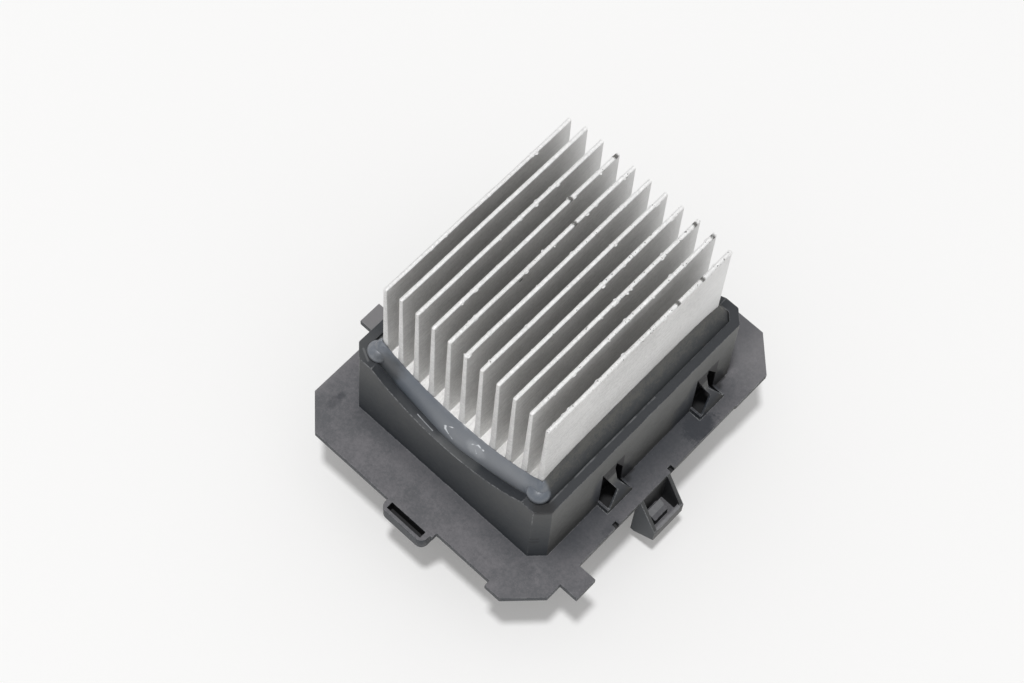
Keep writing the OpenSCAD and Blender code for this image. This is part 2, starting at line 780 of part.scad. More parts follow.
// Terminal: a flat blade with a pointed end, a shoulder on the floor and tails through the board
module terminal(x, y, w, wide) {
  hw = w / 2;
  tip = 1.2;
  tail_top = board_top_z + tail_over;
  half_t = blade_t / 2;
  blade = [
    [x - hw, 0], [x - hw, -blade_reach + tip], [x - hw + tip, -blade_reach],
    [x + hw - tip, -blade_reach], [x + hw, -blade_reach + tip], [x + hw, 0]
  ];
  swept_y(blade, y - half_t, y + half_t);
  block([x - hw - shoulder_over, y - half_t, 0], [x + hw + shoulder_over, y + half_t, shoulder_h]);
  tails = wide ? [-tail_spread, tail_spread] : [0];
  for (d = tails)
    block([x + d - tail_w / 2, y - half_t, shoulder_h], [x + d + tail_w / 2, y + half_t, tail_top]);
}

module power_blade(i) {
  color([0.78, 0.74, 0.6]) terminal(blade_xs[i], power_y, blade_w, true);
}

module signal_pin(i) {
  color([0.78, 0.74, 0.6]) terminal(pin_xs[i], signal_y, pin_w, false);
}

// Insulating pad between a transistor and the heat sink, side -1 or 1
module insulating_pad(side) {
  over = 0.8;
  hw = transistor_w / 2 + over;
  y0 = transistor_body_y - transistor_body_len - over;
  y1 = transistor_body_y + transistor_tab_len + over;
  color([0.75, 0.78, 0.8])
    difference() {
      block([side * transistor_x - hw, y0, pad_bottom_z], [side * transistor_x + hw, y1, sink_seat_z]);
      translate([side * transistor_x, transistor_screw_y, pad_bottom_z - cut])
        cylinder(r = screw_r + plain_room, h = pad_t + 2 * cut);
    }
}

// Power transistor: metal tab, moulded body and three bent leads, on side -1 or 1
module power_transistor(side) {
  x = side * transistor_x;
  hw = transistor_w / 2;
  body_y0 = transistor_body_y - transistor_body_len;
  tab_y1 = transistor_body_y + transistor_tab_len;
  tab_bottom = pad_bottom_z - transistor_tab_t;
  lead_z = pad_bottom_z - lead_drop;
  lead_low = board_bottom_z - lead_below;
  color([0.2, 0.2, 0.22])
    difference() {
      union() {
        block([x - hw, transistor_body_y - 1, tab_bottom], [x + hw, tab_y1, pad_bottom_z]);
        block([x - hw, body_y0, pad_bottom_z - transistor_t], [x + hw, transistor_body_y, pad_bottom_z]);
        for (k = [-1:1]) {
          lx = x + k * lead_pitch - lead_w / 2;
          block([lx, lead_y - lead_t / 2, lead_z], [lx + lead_w, body_y0, lead_z + lead_t]);
          block([lx, lead_y - lead_t / 2, lead_low], [lx + lead_w, lead_y + lead_t / 2, lead_z]);
        }
      }
      translate([x, transistor_screw_y, tab_bottom - cut])
        cylinder(r = screw_r + plain_room, h = transistor_tab_t + 2 * cut);
    }
}

// Pan-head screw pointing up from a bearing face at z into the heat sink's underside
module pan_screw(x, y, z) {
  cross_w = 0.7;
  cross_len = 3.2;
  cross_depth = 1;
  edge = 0.7;
  shank = sink_seat_z - z + tapped_depth - thread_runout;
  translate([x, y, z]) {
    cylinder(r = screw_r, h = shank);
    difference() {
      translate([0, 0, -screw_head_h])
        rotate_extrude()
          polygon([
            [0, 0], [screw_head_r - edge, 0], [screw_head_r, edge],
            [screw_head_r, screw_head_h], [0, screw_head_h]
          ]);
      for (a = [0, 90])
        translate([0, 0, -screw_head_h + (cross_depth - cut) / 2])
          rotate([0, 0, a])
            cube([cross_len, cross_w, cross_depth + cut], center = true);
    }
  }
}

module transistor_screws() {
  color([0.7, 0.7, 0.68])
    for (s = [-1, 1]) pan_screw(s * transistor_x, transistor_screw_y, pad_bottom_z - transistor_tab_t);
}

module board_screws() {
  color([0.7, 0.7, 0.68])
    for (s = [-1, 1], t = [-1, 1]) pan_screw(s * board_screw_x, t * board_screw_y, board_bottom_z);
}

module board_spacers() {
  color([0.75, 0.65, 0.35])
    for (s = [-1, 1], t = [-1, 1])
      translate([s * board_screw_x, t * board_screw_y, board_top_z])
        difference() {
          cylinder(r = spacer_r, h = spacer_len, $fn = 6);
          translate([0, 0, -cut]) cylinder(r = screw_r + plain_room, h = spacer_len + 2 * cut);
        }
}

// Shunt: a bent strip of resistance alloy
module shunt_resistor() {
  top = board_top_z + shunt_h;
  low = board_bottom_z - lead_below;
  out = shunt_half_span + shunt_t / 2;
  in = shunt_half_span - shunt_t / 2;
  strip = [
    [-out, low], [-in, low], [-in, top - shunt_t], [in, top - shunt_t],
    [in, low], [out, low], [out, top], [-out, top]
  ];
  color([0.6, 0.5, 0.42])
    translate([shunt_at.x, 0, 0]) swept_y(strip, shunt_at.y - shunt_w / 2, shunt_at.y + shunt_w / 2);
}

// Electrolytic capacitor lying on the board, its two leads bent down through it
capacitor_lead_x = capacitor_at.x - capacitor_len / 2 - capacitor_lead_out;
module electrolytic_capacitor() {
  crimp_r = 0.4;
  crimp_at = 1.6;
  low = board_bottom_z - lead_below;
  z = board_top_z + capacitor_r;
  color([0.16, 0.17, 0.2]) {
    translate([capacitor_at.x - capacitor_len / 2, capacitor_at.y, z])
      rotate([0, 90, 0])
        difference() {
          cylinder(r = capacitor_r, h = capacitor_len);
          translate([0, 0, crimp_at]) rotate_extrude() translate([capacitor_r, 0]) circle(crimp_r, $fn = 24);
        }
    for (s = [-1, 1])
      translate([capacitor_lead_x, capacitor_at.y + s * radial_lead_half_pitch, 0]) {
        translate([0, 0, z])
          rotate([0, 90, 0])
            cylinder(r = capacitor_lead_r, h = capacitor_lead_out, $fn = 24);
        translate([0, 0, low]) cylinder(r = capacitor_lead_r, h = z - low + capacitor_lead_r, $fn = 24);
      }
  }
}

// Rectangular block that stands on the board, its lower face raised by lift
module surface_part(at, size, lift = 0) {
  block(
    [at.x - size.x / 2, at.y - size.y / 2, board_top_z + lift],
    [at.x + size.x / 2, at.y + size.y / 2, board_top_z + size.z]
  );
}

module suppressor_diode() {
  color([0.15, 0.15, 0.16]) {
    surface_part(diode_at, diode_body, body_lift);
    surface_part(diode_at, diode_lead);
  }
}

module driver_chip() {
  color([0.13, 0.13, 0.14]) {
    surface_part(driver_at, driver_body, body_lift);
    for (k = [-3:3]) surface_part([driver_at.x + k * driver_lead_pitch, driver_at.y], driver_lead);
  }
}

// Thermistor bead, on two leads that hold it against the heat sink
module thermistor() {
  z = sink_seat_z - thermistor_r;
  low = board_bottom_z - lead_below;
  color([0.2, 0.45, 0.55]) {
    translate([thermistor_at.x, thermistor_at.y, z]) sphere(thermistor_r);
    for (s = [-1, 1])
      translate([thermistor_at.x + s * radial_lead_half_pitch, thermistor_at.y, low])
        cylinder(r = thermistor_lead_r, h = z - low, $fn = 24);
  }
}

module chip_resistors() {
  first_x = -(chip_resistor_count - 1) * chip_resistor_pitch / 2;
  color([0.1, 0.1, 0.11])
    for (i = [0:chip_resistor_count - 1])
      surface_part([first_x + i * chip_resistor_pitch, chip_resistor_y], chip_resistor_size);
}

module chip_capacitors() {
  color([0.65, 0.52, 0.38])
    for (s = [-1, 1], i = [0:1])
      surface_part(
        [s * (chip_capacitor_x + i * chip_capacitor_pitch), chip_capacitor_y], chip_capacitor_size
      );
}

housing();
heat_sink();
potting();
circuit_board();
insulating_pad(-1);  // left_insulating_pad
insulating_pad(1);  // right_insulating_pad
power_transistor(-1);  // left_power_transistor
power_transistor(1);  // right_power_transistor
transistor_screws();
board_spacers();
board_screws();
power_blade(0);  // battery_blade
power_blade(1);  // ground_blade
power_blade(2);  // motor_supply_blade
power_blade(3);  // motor_return_blade
signal_pin(0);  // control_pin
signal_pin(1);  // sense_pin
signal_pin(2);  // diagnostic_pin
shunt_resistor();
electrolytic_capacitor();
suppressor_diode();
driver_chip();
thermistor();
chip_resistors();
chip_capacitors();
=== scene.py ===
"""Looks of a blower motor resistor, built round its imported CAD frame.

Lengths are in metres, in the part's own frame: +Z runs up the fins, +Y away from the slotted loop
and +X towards the latch bracket. The frame's solids keep their places. The heat sink, the potting
and the carrier are shown by finer pieces of the same size, and every other solid is dressed.
"""

from __future__ import annotations

import logging
import math
from dataclasses import dataclass, field, fields, replace
from enum import Enum
from functools import reduce
from typing import Callable, ClassVar, Iterable, Mapping, Sequence, Union

import bmesh
import bpy
import numpy as np
from mathutils import Matrix, Vector


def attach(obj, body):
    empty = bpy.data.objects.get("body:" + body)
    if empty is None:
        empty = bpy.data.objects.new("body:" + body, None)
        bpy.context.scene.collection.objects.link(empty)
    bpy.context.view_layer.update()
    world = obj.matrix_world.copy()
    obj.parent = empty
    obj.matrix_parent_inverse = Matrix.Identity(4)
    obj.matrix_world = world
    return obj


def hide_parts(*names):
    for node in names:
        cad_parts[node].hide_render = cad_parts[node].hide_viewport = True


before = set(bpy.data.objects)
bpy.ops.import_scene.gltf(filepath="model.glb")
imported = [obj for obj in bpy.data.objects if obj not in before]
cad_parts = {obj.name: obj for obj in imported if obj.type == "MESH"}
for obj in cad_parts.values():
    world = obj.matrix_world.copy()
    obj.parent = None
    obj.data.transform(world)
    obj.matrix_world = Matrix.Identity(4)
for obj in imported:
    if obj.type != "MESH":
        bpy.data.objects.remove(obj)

LOG = logging.getLogger("blower_motor_resistor")
MM = 0.001
Colour = tuple[float, float, float]
Point = tuple[float, float, float]
Box = tuple[Point, Point]
Waves = tuple[tuple[float, float, float, float], ...]
Socket = bpy.types.NodeSocket


# Node trees written as Python expressions


def maths(operation: str, turned: bool = False) -> Callable[..., "Wire"]:
    """Makes a method of Wire that adds one Math node.

    Args:
        operation: Blender's name of the operation.
        turned: True where the wire stands to the right of the other number.

    Returns:
        The method.
    """

    def method(self: "Wire", *others: "Feed") -> "Wire":
        """Result of the operation."""
        return self.sheet.math(operation, *((*others, self) if turned else (self, *others)))

    return method


class Wire:
    """A number that flows through a node tree, with arithmetic that adds Math nodes."""

    __add__, __radd__ = maths("ADD"), maths("ADD", turned=True)
    __sub__, __rsub__ = maths("SUBTRACT"), maths("SUBTRACT", turned=True)
    __mul__, __rmul__ = maths("MULTIPLY"), maths("MULTIPLY", turned=True)
    __truediv__, __rtruediv__ = maths("DIVIDE"), maths("DIVIDE", turned=True)
    __pow__, __rpow__ = maths("POWER"), maths("POWER", turned=True)
    __gt__, __lt__ = maths("GREATER_THAN"), maths("LESS_THAN")
    least, most = maths("MINIMUM"), maths("MAXIMUM")
    size, sign = maths("ABSOLUTE"), maths("SIGN")

    def __init__(self, sheet: "NodeSheet", socket: Socket) -> None:
        """Keeps the socket and the sheet that it belongs to."""
        self.sheet = sheet
        self.socket = socket

    def __neg__(self) -> "Wire":
        """This number with its sign turned."""
        return self * -1.0

    def ramp(self, low: "Feed", high: "Feed") -> "Wire":
        """Smooth step.

        Args:
            low: Where the result is 0.
            high: Where the result is 1, which may lie below low.

        Returns:
            A number from 0 to 1.
        """
        node = self.sheet.node(
            "ShaderNodeMapRange",
            {"interpolation_type": "SMOOTHSTEP", "clamp": True},
            {"Value": self, "From Min": low, "From Max": high},
        )
        return Wire(self.sheet, node.outputs["Result"])


Feed = Union[Wire, Socket, float, int, bool, str, tuple, bpy.types.Material]


def largest(shares: Iterable[Wire]) -> Wire:
    """Largest of several numbers."""
    return reduce(lambda a, b: a.most(b), shares)


@dataclass(frozen=True)
class Pattern:
    """Noise: its cells per unit, its octaves, the strength of the finer ones, and a seed."""

    scale: float
    detail: float = 2.0
    rough: float = 0.5
    seed: float = 0.0


class NodeSheet:
    """A node tree with one method that adds any node."""

    def __init__(self, tree: bpy.types.NodeTree) -> None:
        """Keeps the tree."""
        self.tree = tree

    def node(
        self,
        kind: str,
        settings: Mapping[str, object] | None = None,
        feeds: Mapping[str | int, Feed] | None = None,
    ) -> bpy.types.Node:
        """Adds one node.

        Args:
            kind: Blender's type name of the node.
            settings: Properties, which are set first because some of them change the sockets.
            feeds: Values or wires for input sockets, by name or number.

        Returns:
            The new node.
        """
        made = self.tree.nodes.new(kind)
        for name, value in (settings or {}).items():
            setattr(made, name, value)
        for key, feed in (feeds or {}).items():
            self.feed(made.inputs[key], feed)
        return made

    def feed(self, socket: Socket, feed: Feed) -> None:
        """Links a wire to an input socket, or writes a value to it.

        Args:
            socket: The input.
            feed: A wire, another node's output, or a plain value.
        """
        if isinstance(feed, Wire):
            self.tree.links.new(feed.socket, socket)
        elif isinstance(feed, Socket):
            self.tree.links.new(feed, socket)
        elif socket.type == "RGBA" and isinstance(feed, tuple) and len(feed) == 3:
            socket.default_value = (*feed, 1.0)
        else:
            socket.default_value = feed

    def math(self, operation: str, *feeds: Feed) -> Wire:
        """Math node with its inputs in order.

        Args:
            operation: Blender's name of the operation.
            feeds: Its operands.

        Returns:
            The result.
        """
        made = self.node("ShaderNodeMath", {"operation": operation}, dict(enumerate(feeds)))
        return Wire(self, made.outputs[0])

    def vector(self, x: Feed, y: Feed, z: Feed) -> Socket:
        """Vector from three numbers."""
        return self.node("ShaderNodeCombineXYZ", None, {"X": x, "Y": y, "Z": z}).outputs[0]

    def parts(self, vector: Socket) -> tuple[Wire, Wire, Wire]:
        """Three numbers of a vector."""
        made = self.node("ShaderNodeSeparateXYZ", None, {0: vector})
        return Wire(self, made.outputs[0]), Wire(self, made.outputs[1]), Wire(self, made.outputs[2])

    def vector_math(self, operation: str, *feeds: Feed) -> Socket:
        """Vector Math node's vector, with its inputs in order.

        Args:
            operation: Blender's name of the operation.
            feeds: Its operands.

        Returns:
            The resulting vector.
        """
        made = self.node("ShaderNodeVectorMath", {"operation": operation}, dict(enumerate(feeds)))
        return made.outputs["Vector"]

    def noise(self, where: Socket, pattern: Pattern, seed: Feed | None = None) -> Wire:
        """Noise around 0.5.

        Args:
            where: Coordinates.
            pattern: What it looks like.
            seed: Fourth coordinate, in place of the pattern's own.

        Returns:
            The noise value.
        """
        feeds = {"Vector": where, "W": pattern.seed if seed is None else seed, "Scale": pattern.scale}
        feeds |= {"Detail": pattern.detail, "Roughness": pattern.rough}
        made = self.node("ShaderNodeTexNoise", {"noise_dimensions": "4D"}, feeds)
        return Wire(self, made.outputs[0])

    def blend(self, share: Feed, low: Feed, high: Feed) -> Socket:
        """Colour between two colours.

        Args:
            share: 0 for low and 1 for high.
            low: First colour.
            high: Second colour.

        Returns:
            The mixed colour.
        """
        made = self.node("ShaderNodeMix", {"data_type": "RGBA"}, {0: share, 6: low, 7: high})
        return made.outputs[2]


class Growth(NodeSheet):
    """A Geometry Nodes tree that makes a mesh from named sizes."""

    def __init__(self, name: str, sizes: Mapping[str, float | int]) -> None:
        """Makes the tree, its named inputs and its group nodes.

        Args:
            name: Name of the tree.
            sizes: Named inputs with their values.
        """
        super().__init__(bpy.data.node_groups.new(name, "GeometryNodeTree"))
        self.sizes = dict(sizes)
        self.tree.interface.new_socket("Geometry", in_out="OUTPUT", socket_type="NodeSocketGeometry")
        for label, value in self.sizes.items():
            kind = "NodeSocketInt" if isinstance(value, int) else "NodeSocketFloat"
            self.tree.interface.new_socket(label, in_out="INPUT", socket_type=kind)
        self.source = self.node("NodeGroupInput")
        self.sink = self.node("NodeGroupOutput")

    def size(self, label: str) -> Wire:
        """Named input as a number."""
        return Wire(self, self.source.outputs[label])

    def stored(self, mesh: Socket, name: str, value: Feed, kind: str = "FLOAT") -> Socket:
        """Keeps a number or vector on each point of a mesh.

        Args:
            mesh: The mesh.
            name: Name of the attribute.
            value: What it holds.
            kind: Blender's name of its type.

        Returns:
            The mesh with the attribute.
        """
        feeds = {"Geometry": mesh, "Name": name, "Value": value}
        settings = {"data_type": kind, "domain": "POINT"}
        return self.node("GeometryNodeStoreNamedAttribute", settings, feeds).outputs[0]

    def attribute(self, name: str, kind: str = "FLOAT") -> Socket:
        """Value of a named attribute."""
        return self.node("GeometryNodeInputNamedAttribute", {"data_type": kind}, {"Name": name}).outputs[0]

    def grid_block(self, across: Feed, along: Feed, up: Feed) -> Socket:
        """Unit block that remembers its own coordinates.

        Args:
            across: Number of points along X.
            along: Number of points along Y.
            up: Number of points along Z.

        Returns:
            Its mesh.
        """
        counts = {"Size": (1.0, 1.0, 1.0), "Vertices X": across, "Vertices Y": along, "Vertices Z": up}
        block = self.node("GeometryNodeMeshCube", None, counts).outputs["Mesh"]
        place = self.node("GeometryNodeInputPosition").outputs[0]
        return self.stored(block, "local", place, "FLOAT_VECTOR")

    def copies(self, points: Socket, mesh: Socket, **feeds: Feed) -> Socket:
        """Real copies of a mesh, one on each point."""
        placed = self.node("GeometryNodeInstanceOnPoints", None, {"Points": points, "Instance": mesh, **feeds})
        return self.node("GeometryNodeRealizeInstances", None, {0: placed.outputs[0]}).outputs[0]

    def moved(self, mesh: Socket, place: Socket) -> Socket:
        """Mesh with its points at a new place."""
        return self.node("GeometryNodeSetPosition", None, {"Geometry": mesh, "Position": place}).outputs[0]

    def finish(self, mesh: Socket, material: bpy.types.Material) -> None:
        """Ends the tree: sharp edges stay sharp, instances become real, and the material is set.

        Args:
            mesh: What the tree has made.
            material: Its material.
        """
        angle = self.node("GeometryNodeInputMeshEdgeAngle").outputs[0]
        sharp = self.node("FunctionNodeCompare", {"operation": "GREATER_THAN"}, {0: angle, 1: math.radians(34)})
        real = self.node("GeometryNodeRealizeInstances", None, {"Geometry": mesh}).outputs[0]
        smooth = self.node("GeometryNodeSetShadeSmooth", {"domain": "FACE"}, {0: real, 2: True}).outputs[0]
        edged = self.node(
            "GeometryNodeSetShadeSmooth", {"domain": "EDGE"}, {0: smooth, 1: sharp.outputs[0], 2: False}
        ).outputs[0]
        bare = self.node("GeometryNodeRemoveAttribute", None, {0: edged, "Name": "local"}).outputs[0]
        dressed = self.node("GeometryNodeSetMaterial", None, {"Geometry": bare, "Material": material})
        self.feed(self.sink.inputs[0], dressed.outputs[0])

    def grow(self, name: str) -> bpy.types.Object:
        """Runs the tree once and keeps the result as a plain mesh.

        Args:
            name: Name of the new object.

        Returns:
            The object, with no modifier left on it.
        """
        host = bpy.data.objects.new(name, bpy.data.meshes.new(name + "_seed"))
        bpy.context.scene.collection.objects.link(host)
        modifier = host.modifiers.new("growth", "NODES")
        modifier.node_group = self.tree
        for item in self.tree.interface.items_tree:
            if item.item_type == "SOCKET" and item.in_out == "INPUT":
                modifier[item.identifier] = self.sizes[item.name]
        graph = bpy.context.evaluated_depsgraph_get()
        mesh = bpy.data.meshes.new_from_object(host.evaluated_get(graph))
        host.modifiers.remove(modifier)
        host.data = mesh
        mesh.name = name
        return host


class Coat(NodeSheet):
    """A material's tree, with coordinates in millimetres and one Principled shader."""

    def __init__(self, name: str, **constants: float) -> None:
        """Makes the material and sets what is the same all over it.

        Args:
            name: Name of the material.
            constants: Values of shader sockets, with _ for the spaces in their names.
        """
        self.material = bpy.data.materials.new(name)
        self.material.use_nodes = True
        super().__init__(self.material.node_tree)
        self.tree.nodes.clear()
        self.output = self.node("ShaderNodeOutputMaterial")
        self.shader = self.node("ShaderNodeBsdfPrincipled")
        self.feed(self.output.inputs["Surface"], self.shader.outputs[0])
        self.dress(**constants)
        raw = self.node("ShaderNodeTexCoord").outputs["Object"]
        self.place = self.vector_math("SCALE", raw)
        self.place.node.inputs["Scale"].default_value = 1 / MM
        self.x, self.y, self.z = self.axes = self.parts(self.place)

    def stretched(self, factors: Point) -> Socket:
        """Coordinates drawn out along an axis, with small factors for long streaks."""
        return self.vector_math("MULTIPLY", self.place, factors)

    def pattern(self, pattern: Pattern, seed: Feed | None = None) -> Wire:
        """Noise that isn't drawn out."""
        return self.noise(self.place, pattern, seed)

    def facing(self) -> tuple[Wire, Wire, Wire]:
        """Direction that the surface faces, as three numbers."""
        return self.parts(self.node("ShaderNodeNewGeometry").outputs["Normal"])

    def spot(self, at: Point, reach: Point, blur: Feed = 0.0) -> Wire:
        """Soft patch.

        Args:
            at: Its middle.
            reach: How far it goes each way.
            blur: Number that moves its edge in and out.

        Returns:
            1 in the middle and 0 outside.
        """
        away = [((value - middle) / size) ** 2.0 for value, middle, size in zip(self.axes, at, reach)]
        return ((away[0] + away[1] + away[2]) ** 0.5 + blur).ramp(1.0, 0.35)

    def mark(self, mark: "Mark", ragged: Feed = 0.0) -> Wire:
        """Share of a mark, whose edge a number moves in and out."""
        return self.spot(mark.at, mark.reach, ragged * mark.ragged) * mark.share

    def block(self, box: Box, soft: float = 0.05) -> Wire:
        """1 inside a box and 0 outside it, with a soft edge."""
        x, y, z = (
            value.ramp(low - soft, low) * value.ramp(high + soft, high)
            for value, low, high in zip(self.axes, *box)
        )
        return x * y * z

    def stroke(self, line: "Stroke", blur: Feed = 0.0) -> Wire:
        """Line drawn from one point to another.

        Args:
            line: Its ends and half its width.
            blur: Number that moves its edge in and out.

        Returns:
            1 on the line and 0 beside it.
        """
        run = [b - a for a, b in zip(line.start, line.end)]
        length = sum(r * r for r in run)
        off = [value - a for value, a in zip(self.axes, line.start)]
        share = ((off[0] * run[0] + off[1] * run[1] + off[2] * run[2]) / length).most(0.0).least(1.0)
        gap = [(o - share * r) ** 2.0 for o, r in zip(off, run)]
        return ((gap[0] + gap[1] + gap[2]) ** 0.5 + blur).ramp(line.half_w, line.half_w * 0.3)

    def attribute(self, name: str) -> Wire:
        """Number stored on the mesh."""
        return Wire(self, self.node("ShaderNodeAttribute", {"attribute_name": name}).outputs["Fac"])

    def dress(self, **feeds: Feed) -> None:
        """Feeds shader sockets, with _ for the spaces in their names."""
        for label, value in feeds.items():
            self.feed(self.shader.inputs[label.replace("_", " ")], value)

    def relief(self, height: Wire, depth_mm: float, strength: float = 1.0) -> None:
        """Bump.

        Args:
            height: Height from 0 to 1.
            depth_mm: Depth of a height of 1.
            strength: Share of the effect.
        """
        bump = self.node(
            "ShaderNodeBump", None, {"Strength": strength, "Distance": depth_mm * MM, "Height": height}
        )
        self.feed(self.shader.inputs["Normal"], bump.outputs[0])


# Finishes


@dataclass(frozen=True)
class Mark:
    """Soft spot of dirt or wear, in millimetres."""

    at: Point
    reach: Point
    share: float = 1.0
    ragged: float = 1.0

    def moved(self, y: float) -> "Mark":
        """The same spot further along Y."""
        return replace(self, at=(self.at[0], self.at[1] + y, self.at[2]))


@dataclass(frozen=True)
class Stroke:
    """Thin line of wear or light, in millimetres."""

    start: Point
    end: Point
    half_w: float


class Grain(Enum):
    """Direction in which a finish's fine pattern is drawn out."""

    EVEN = (1.0, 1.0, 1.0)
    ALONG_X = (0.12, 1.0, 1.0)
    ALONG_Z = (1.0, 1.0, 0.12)


@dataclass(frozen=True)
class SmallFinish:
    """Finish of an inner piece: two tones, a grain and a fine relief."""

    name: str
    slot: str
    tone: Colour
    second_tone: Colour
    grain: Grain = Grain.EVEN
    cell_mm: float = 0.8
    roughness: float = 0.5
    roughness_swing: float = 0.15
    metallic: float = 0.0
    relief_mm: float = 0.02
    coat: float = 0.0

    def build(self) -> bpy.types.Material:
        """Makes the material.

        Returns:
            The new material.
        """
        coat = Coat(self.name, Metallic=self.metallic, Coat_Weight=self.coat, Coat_Roughness=0.12)
        where = coat.stretched(self.grain.value)
        broad = coat.noise(where, Pattern(0.35 / self.cell_mm, 3.0, 0.55, 1.7))
        fine = coat.noise(where, Pattern(1.0 / self.cell_mm * 2.2, 4.0, 0.6, 5.1))
        share = (broad * 0.55 + fine * 0.45).ramp(0.36, 0.64)
        coat.dress(
            Base_Color=coat.blend(share, self.tone, self.second_tone),
            Roughness=self.roughness + (fine - 0.5) * (2 * self.roughness_swing),
        )
        coat.relief(fine, self.relief_mm, 0.6)
        return coat.material


@dataclass(frozen=True)
class CarrierPlastic:
    """Black glass-filled moulding: dusty flange, stains, walls with painted shade and painted light, hollows painted
    dark as shade, and edges pale from wear and painted highlights.
    """

    name: str = "carrier_plastic"
    slot: str = "carrier"
    flange: Colour = (0.172, 0.166, 0.177)
    flange_low: Colour = (0.100, 0.102, 0.110)
    flange_pale: Colour = (0.215, 0.210, 0.216)
    # Wall tones at top and foot: painted shade makes them darker towards the foot, and painted light makes the side
    # walls paler than the end walls
    end_top: Colour = (0.074, 0.077, 0.078)
    end_foot: Colour = (0.040, 0.046, 0.053)
    side_top: Colour = (0.112, 0.114, 0.110)
    side_foot: Colour = (0.046, 0.046, 0.044)
    rim: Colour = (0.026, 0.029, 0.034)
    # Dark tone for stains, and for painted shade along the collar's foot and round the lugs
    stain_and_shade: Colour = (0.020, 0.024, 0.032)
    # Pale tone for wear and dust specks, and for painted highlights on edges and the catch tops
    rubbed_and_lit: Colour = (0.26, 0.265, 0.27)
    glint: Colour = (0.62, 0.65, 0.68)
    # Near black for painted shade in the hollows, and for the dashes marked on a corner
    black: Colour = (0.006, 0.006, 0.007)
    roughness: float = 0.52
    cloud: Pattern = Pattern(0.06, 4.0, 0.6, 2.0)
    blotch: Pattern = Pattern(0.35, 4.0, 0.62, 7.0)
    grit: Pattern = Pattern(3.0, 3.0, 0.65, 3.0)
    grain: Pattern = Pattern(1.3, 2.0, 0.6, 27.0)
    speck: Pattern = Pattern(2.1, 1.0, 0.4, 21.0)
    broken: Pattern = Pattern(0.4, 2.0, 0.5, 13.0)
    # Parts of the rim top left paler than the rest of the rim
    paler_rim_dip: Box = ((-1.5, -30.0, 14.0), (6.5, -27.0, 19.0))
    paler_rim_corner: Mark = Mark((-24.0, -27.5, 22.8), (4.0, 6.0, 2.0))
    # Darker patches by the lugs, painted shade at the collar's right front corner, and a smudge
    dirt: tuple[Mark, ...] = (
        Mark((29.0, -14.0, 0.0), (5.0, 4.0, 3.0), 0.5),  # flange before the first lug
        Mark((29.0, 14.5, 0.0), (6.5, 6.0, 3.0), 0.85),  # flange before the second lug
        Mark((25.4, 13.0, 4.0), (3.0, 4.6, 10.0), 0.8),  # wall above it
        # painted shade where the flange meets the collar's right front corner
        Mark((24.6, -31.6, 0.0), (4.2, 1.9, 3.0), 0.26),  # flange at the collar's right front corner
        Mark((-27.1, -32.3, 0.0), (1.5, 2.8, 3.0), 0.4, 0.4),  # smudge on the left front of the flange
        Mark((-27.0, -30.9, 0.0), (1.1, 1.5, 3.0), 0.6, 0.4),  # its darker end
    )
    lug_ys: tuple[float, ...] = (-8.8, 19.0)
    # Painted shade round each lug: its painted shadow on the flange behind it, and painted shade on the wall before it
    # and on its face
    lug_painted_shade: tuple[Mark, ...] = (
        Mark((26.2, 4.2, 3.0), (2.2, 2.4, 6.0), 1.0, 0.6),  # behind the lug
        Mark((25.6, -4.0, 8.0), (2.0, 2.6, 9.5), 0.9, 0.6),  # before it
        Mark((27.2, 0.0, 4.0), (1.9, 3.9, 6.5), 0.85, 0.4),  # on it
    )
    lug_face: Box = ((26.0, -3.8, -1.0), (29.0, 3.8, 9.0))
    # Painted shade in the lug windows, beside each lug, at the foot behind it, in the loop's slot, the notches and
    # inside the latch bracket
    lug_window: Box = ((23.9, -3.16, -1.2), (27.98, 3.16, 14.0))
    lug_shade: Box = ((25.2, 0.9, -0.5), (25.8, 7.0, 14.4))
    lug_foot: Mark = Mark((26.0, 4.4, 0.0), (1.5, 1.7, 1.5), 0.7)
    slot_hole: Box = ((-4.2, -41.6, -6.0), (5.6, -39.9, -0.2))
    notches: tuple[Box, ...] = (
        ((30.5, -13.6, -1.7), (32.0, -12.4, -0.1)),
        ((30.5, 2.9, -1.7), (32.0, 4.1, -0.1)),
    )
    gusset: Box = ((31.2, 1.5, -13.0), (35.9, 1.95, -0.6))
    bracket: Box = ((30.6, -5.35, -13.0), (35.9, 1.85, -1.0))
    # Painted light on the upper faces of the catch and of the bracket's end bar
    catch_top: Box = ((32.0, -4.4, -9.0), (33.6, 0.9, -7.2))
    bar_top: Box = ((35.9, -6.3, -9.2), (36.6, 2.8, -8.2))
    # Pale line along the inner rim, part wear and part painted highlight; at the left corner, a painted highlight
    inner_rim: Box = ((23.2, -26.0, 22.4), (23.65, 4.0, 23.0))
    worn_corner: Stroke = Stroke((-23.6, -27.4, 22.8), (-21.2, -28.6, 22.8), 0.3)
    shine: Stroke = Stroke((-8.2, -28.42, 17.5), (-4.0, -28.64, 16.75), 0.14)
    dashes: tuple[Stroke, ...] = (
        Stroke((22.8, -29.7, 9.1), (24.0, -28.5, 9.1), 0.32),
        Stroke((22.8, -29.7, 7.5), (24.0, -28.5, 7.5), 0.32),
    )
    # Painted shade on the rim under the right drop of potting
    dark_corner: Mark = Mark((23.6, -27.6, 22.8), (3.2, 3.3, 1.5), 0.93)

    def build(self) -> bpy.types.Material:
        """Makes the material.

        Returns:
            The new material.
        """
        coat = Coat(self.name, Specular_IOR_Level=0.42)
        cloud, blotch, grit, grain = map(coat.pattern, (self.cloud, self.blotch, self.grit, self.grain))
        east, _, up = coat.facing()
        level = up.ramp(0.6, 0.95) * coat.z.ramp(4.0, 1.0)
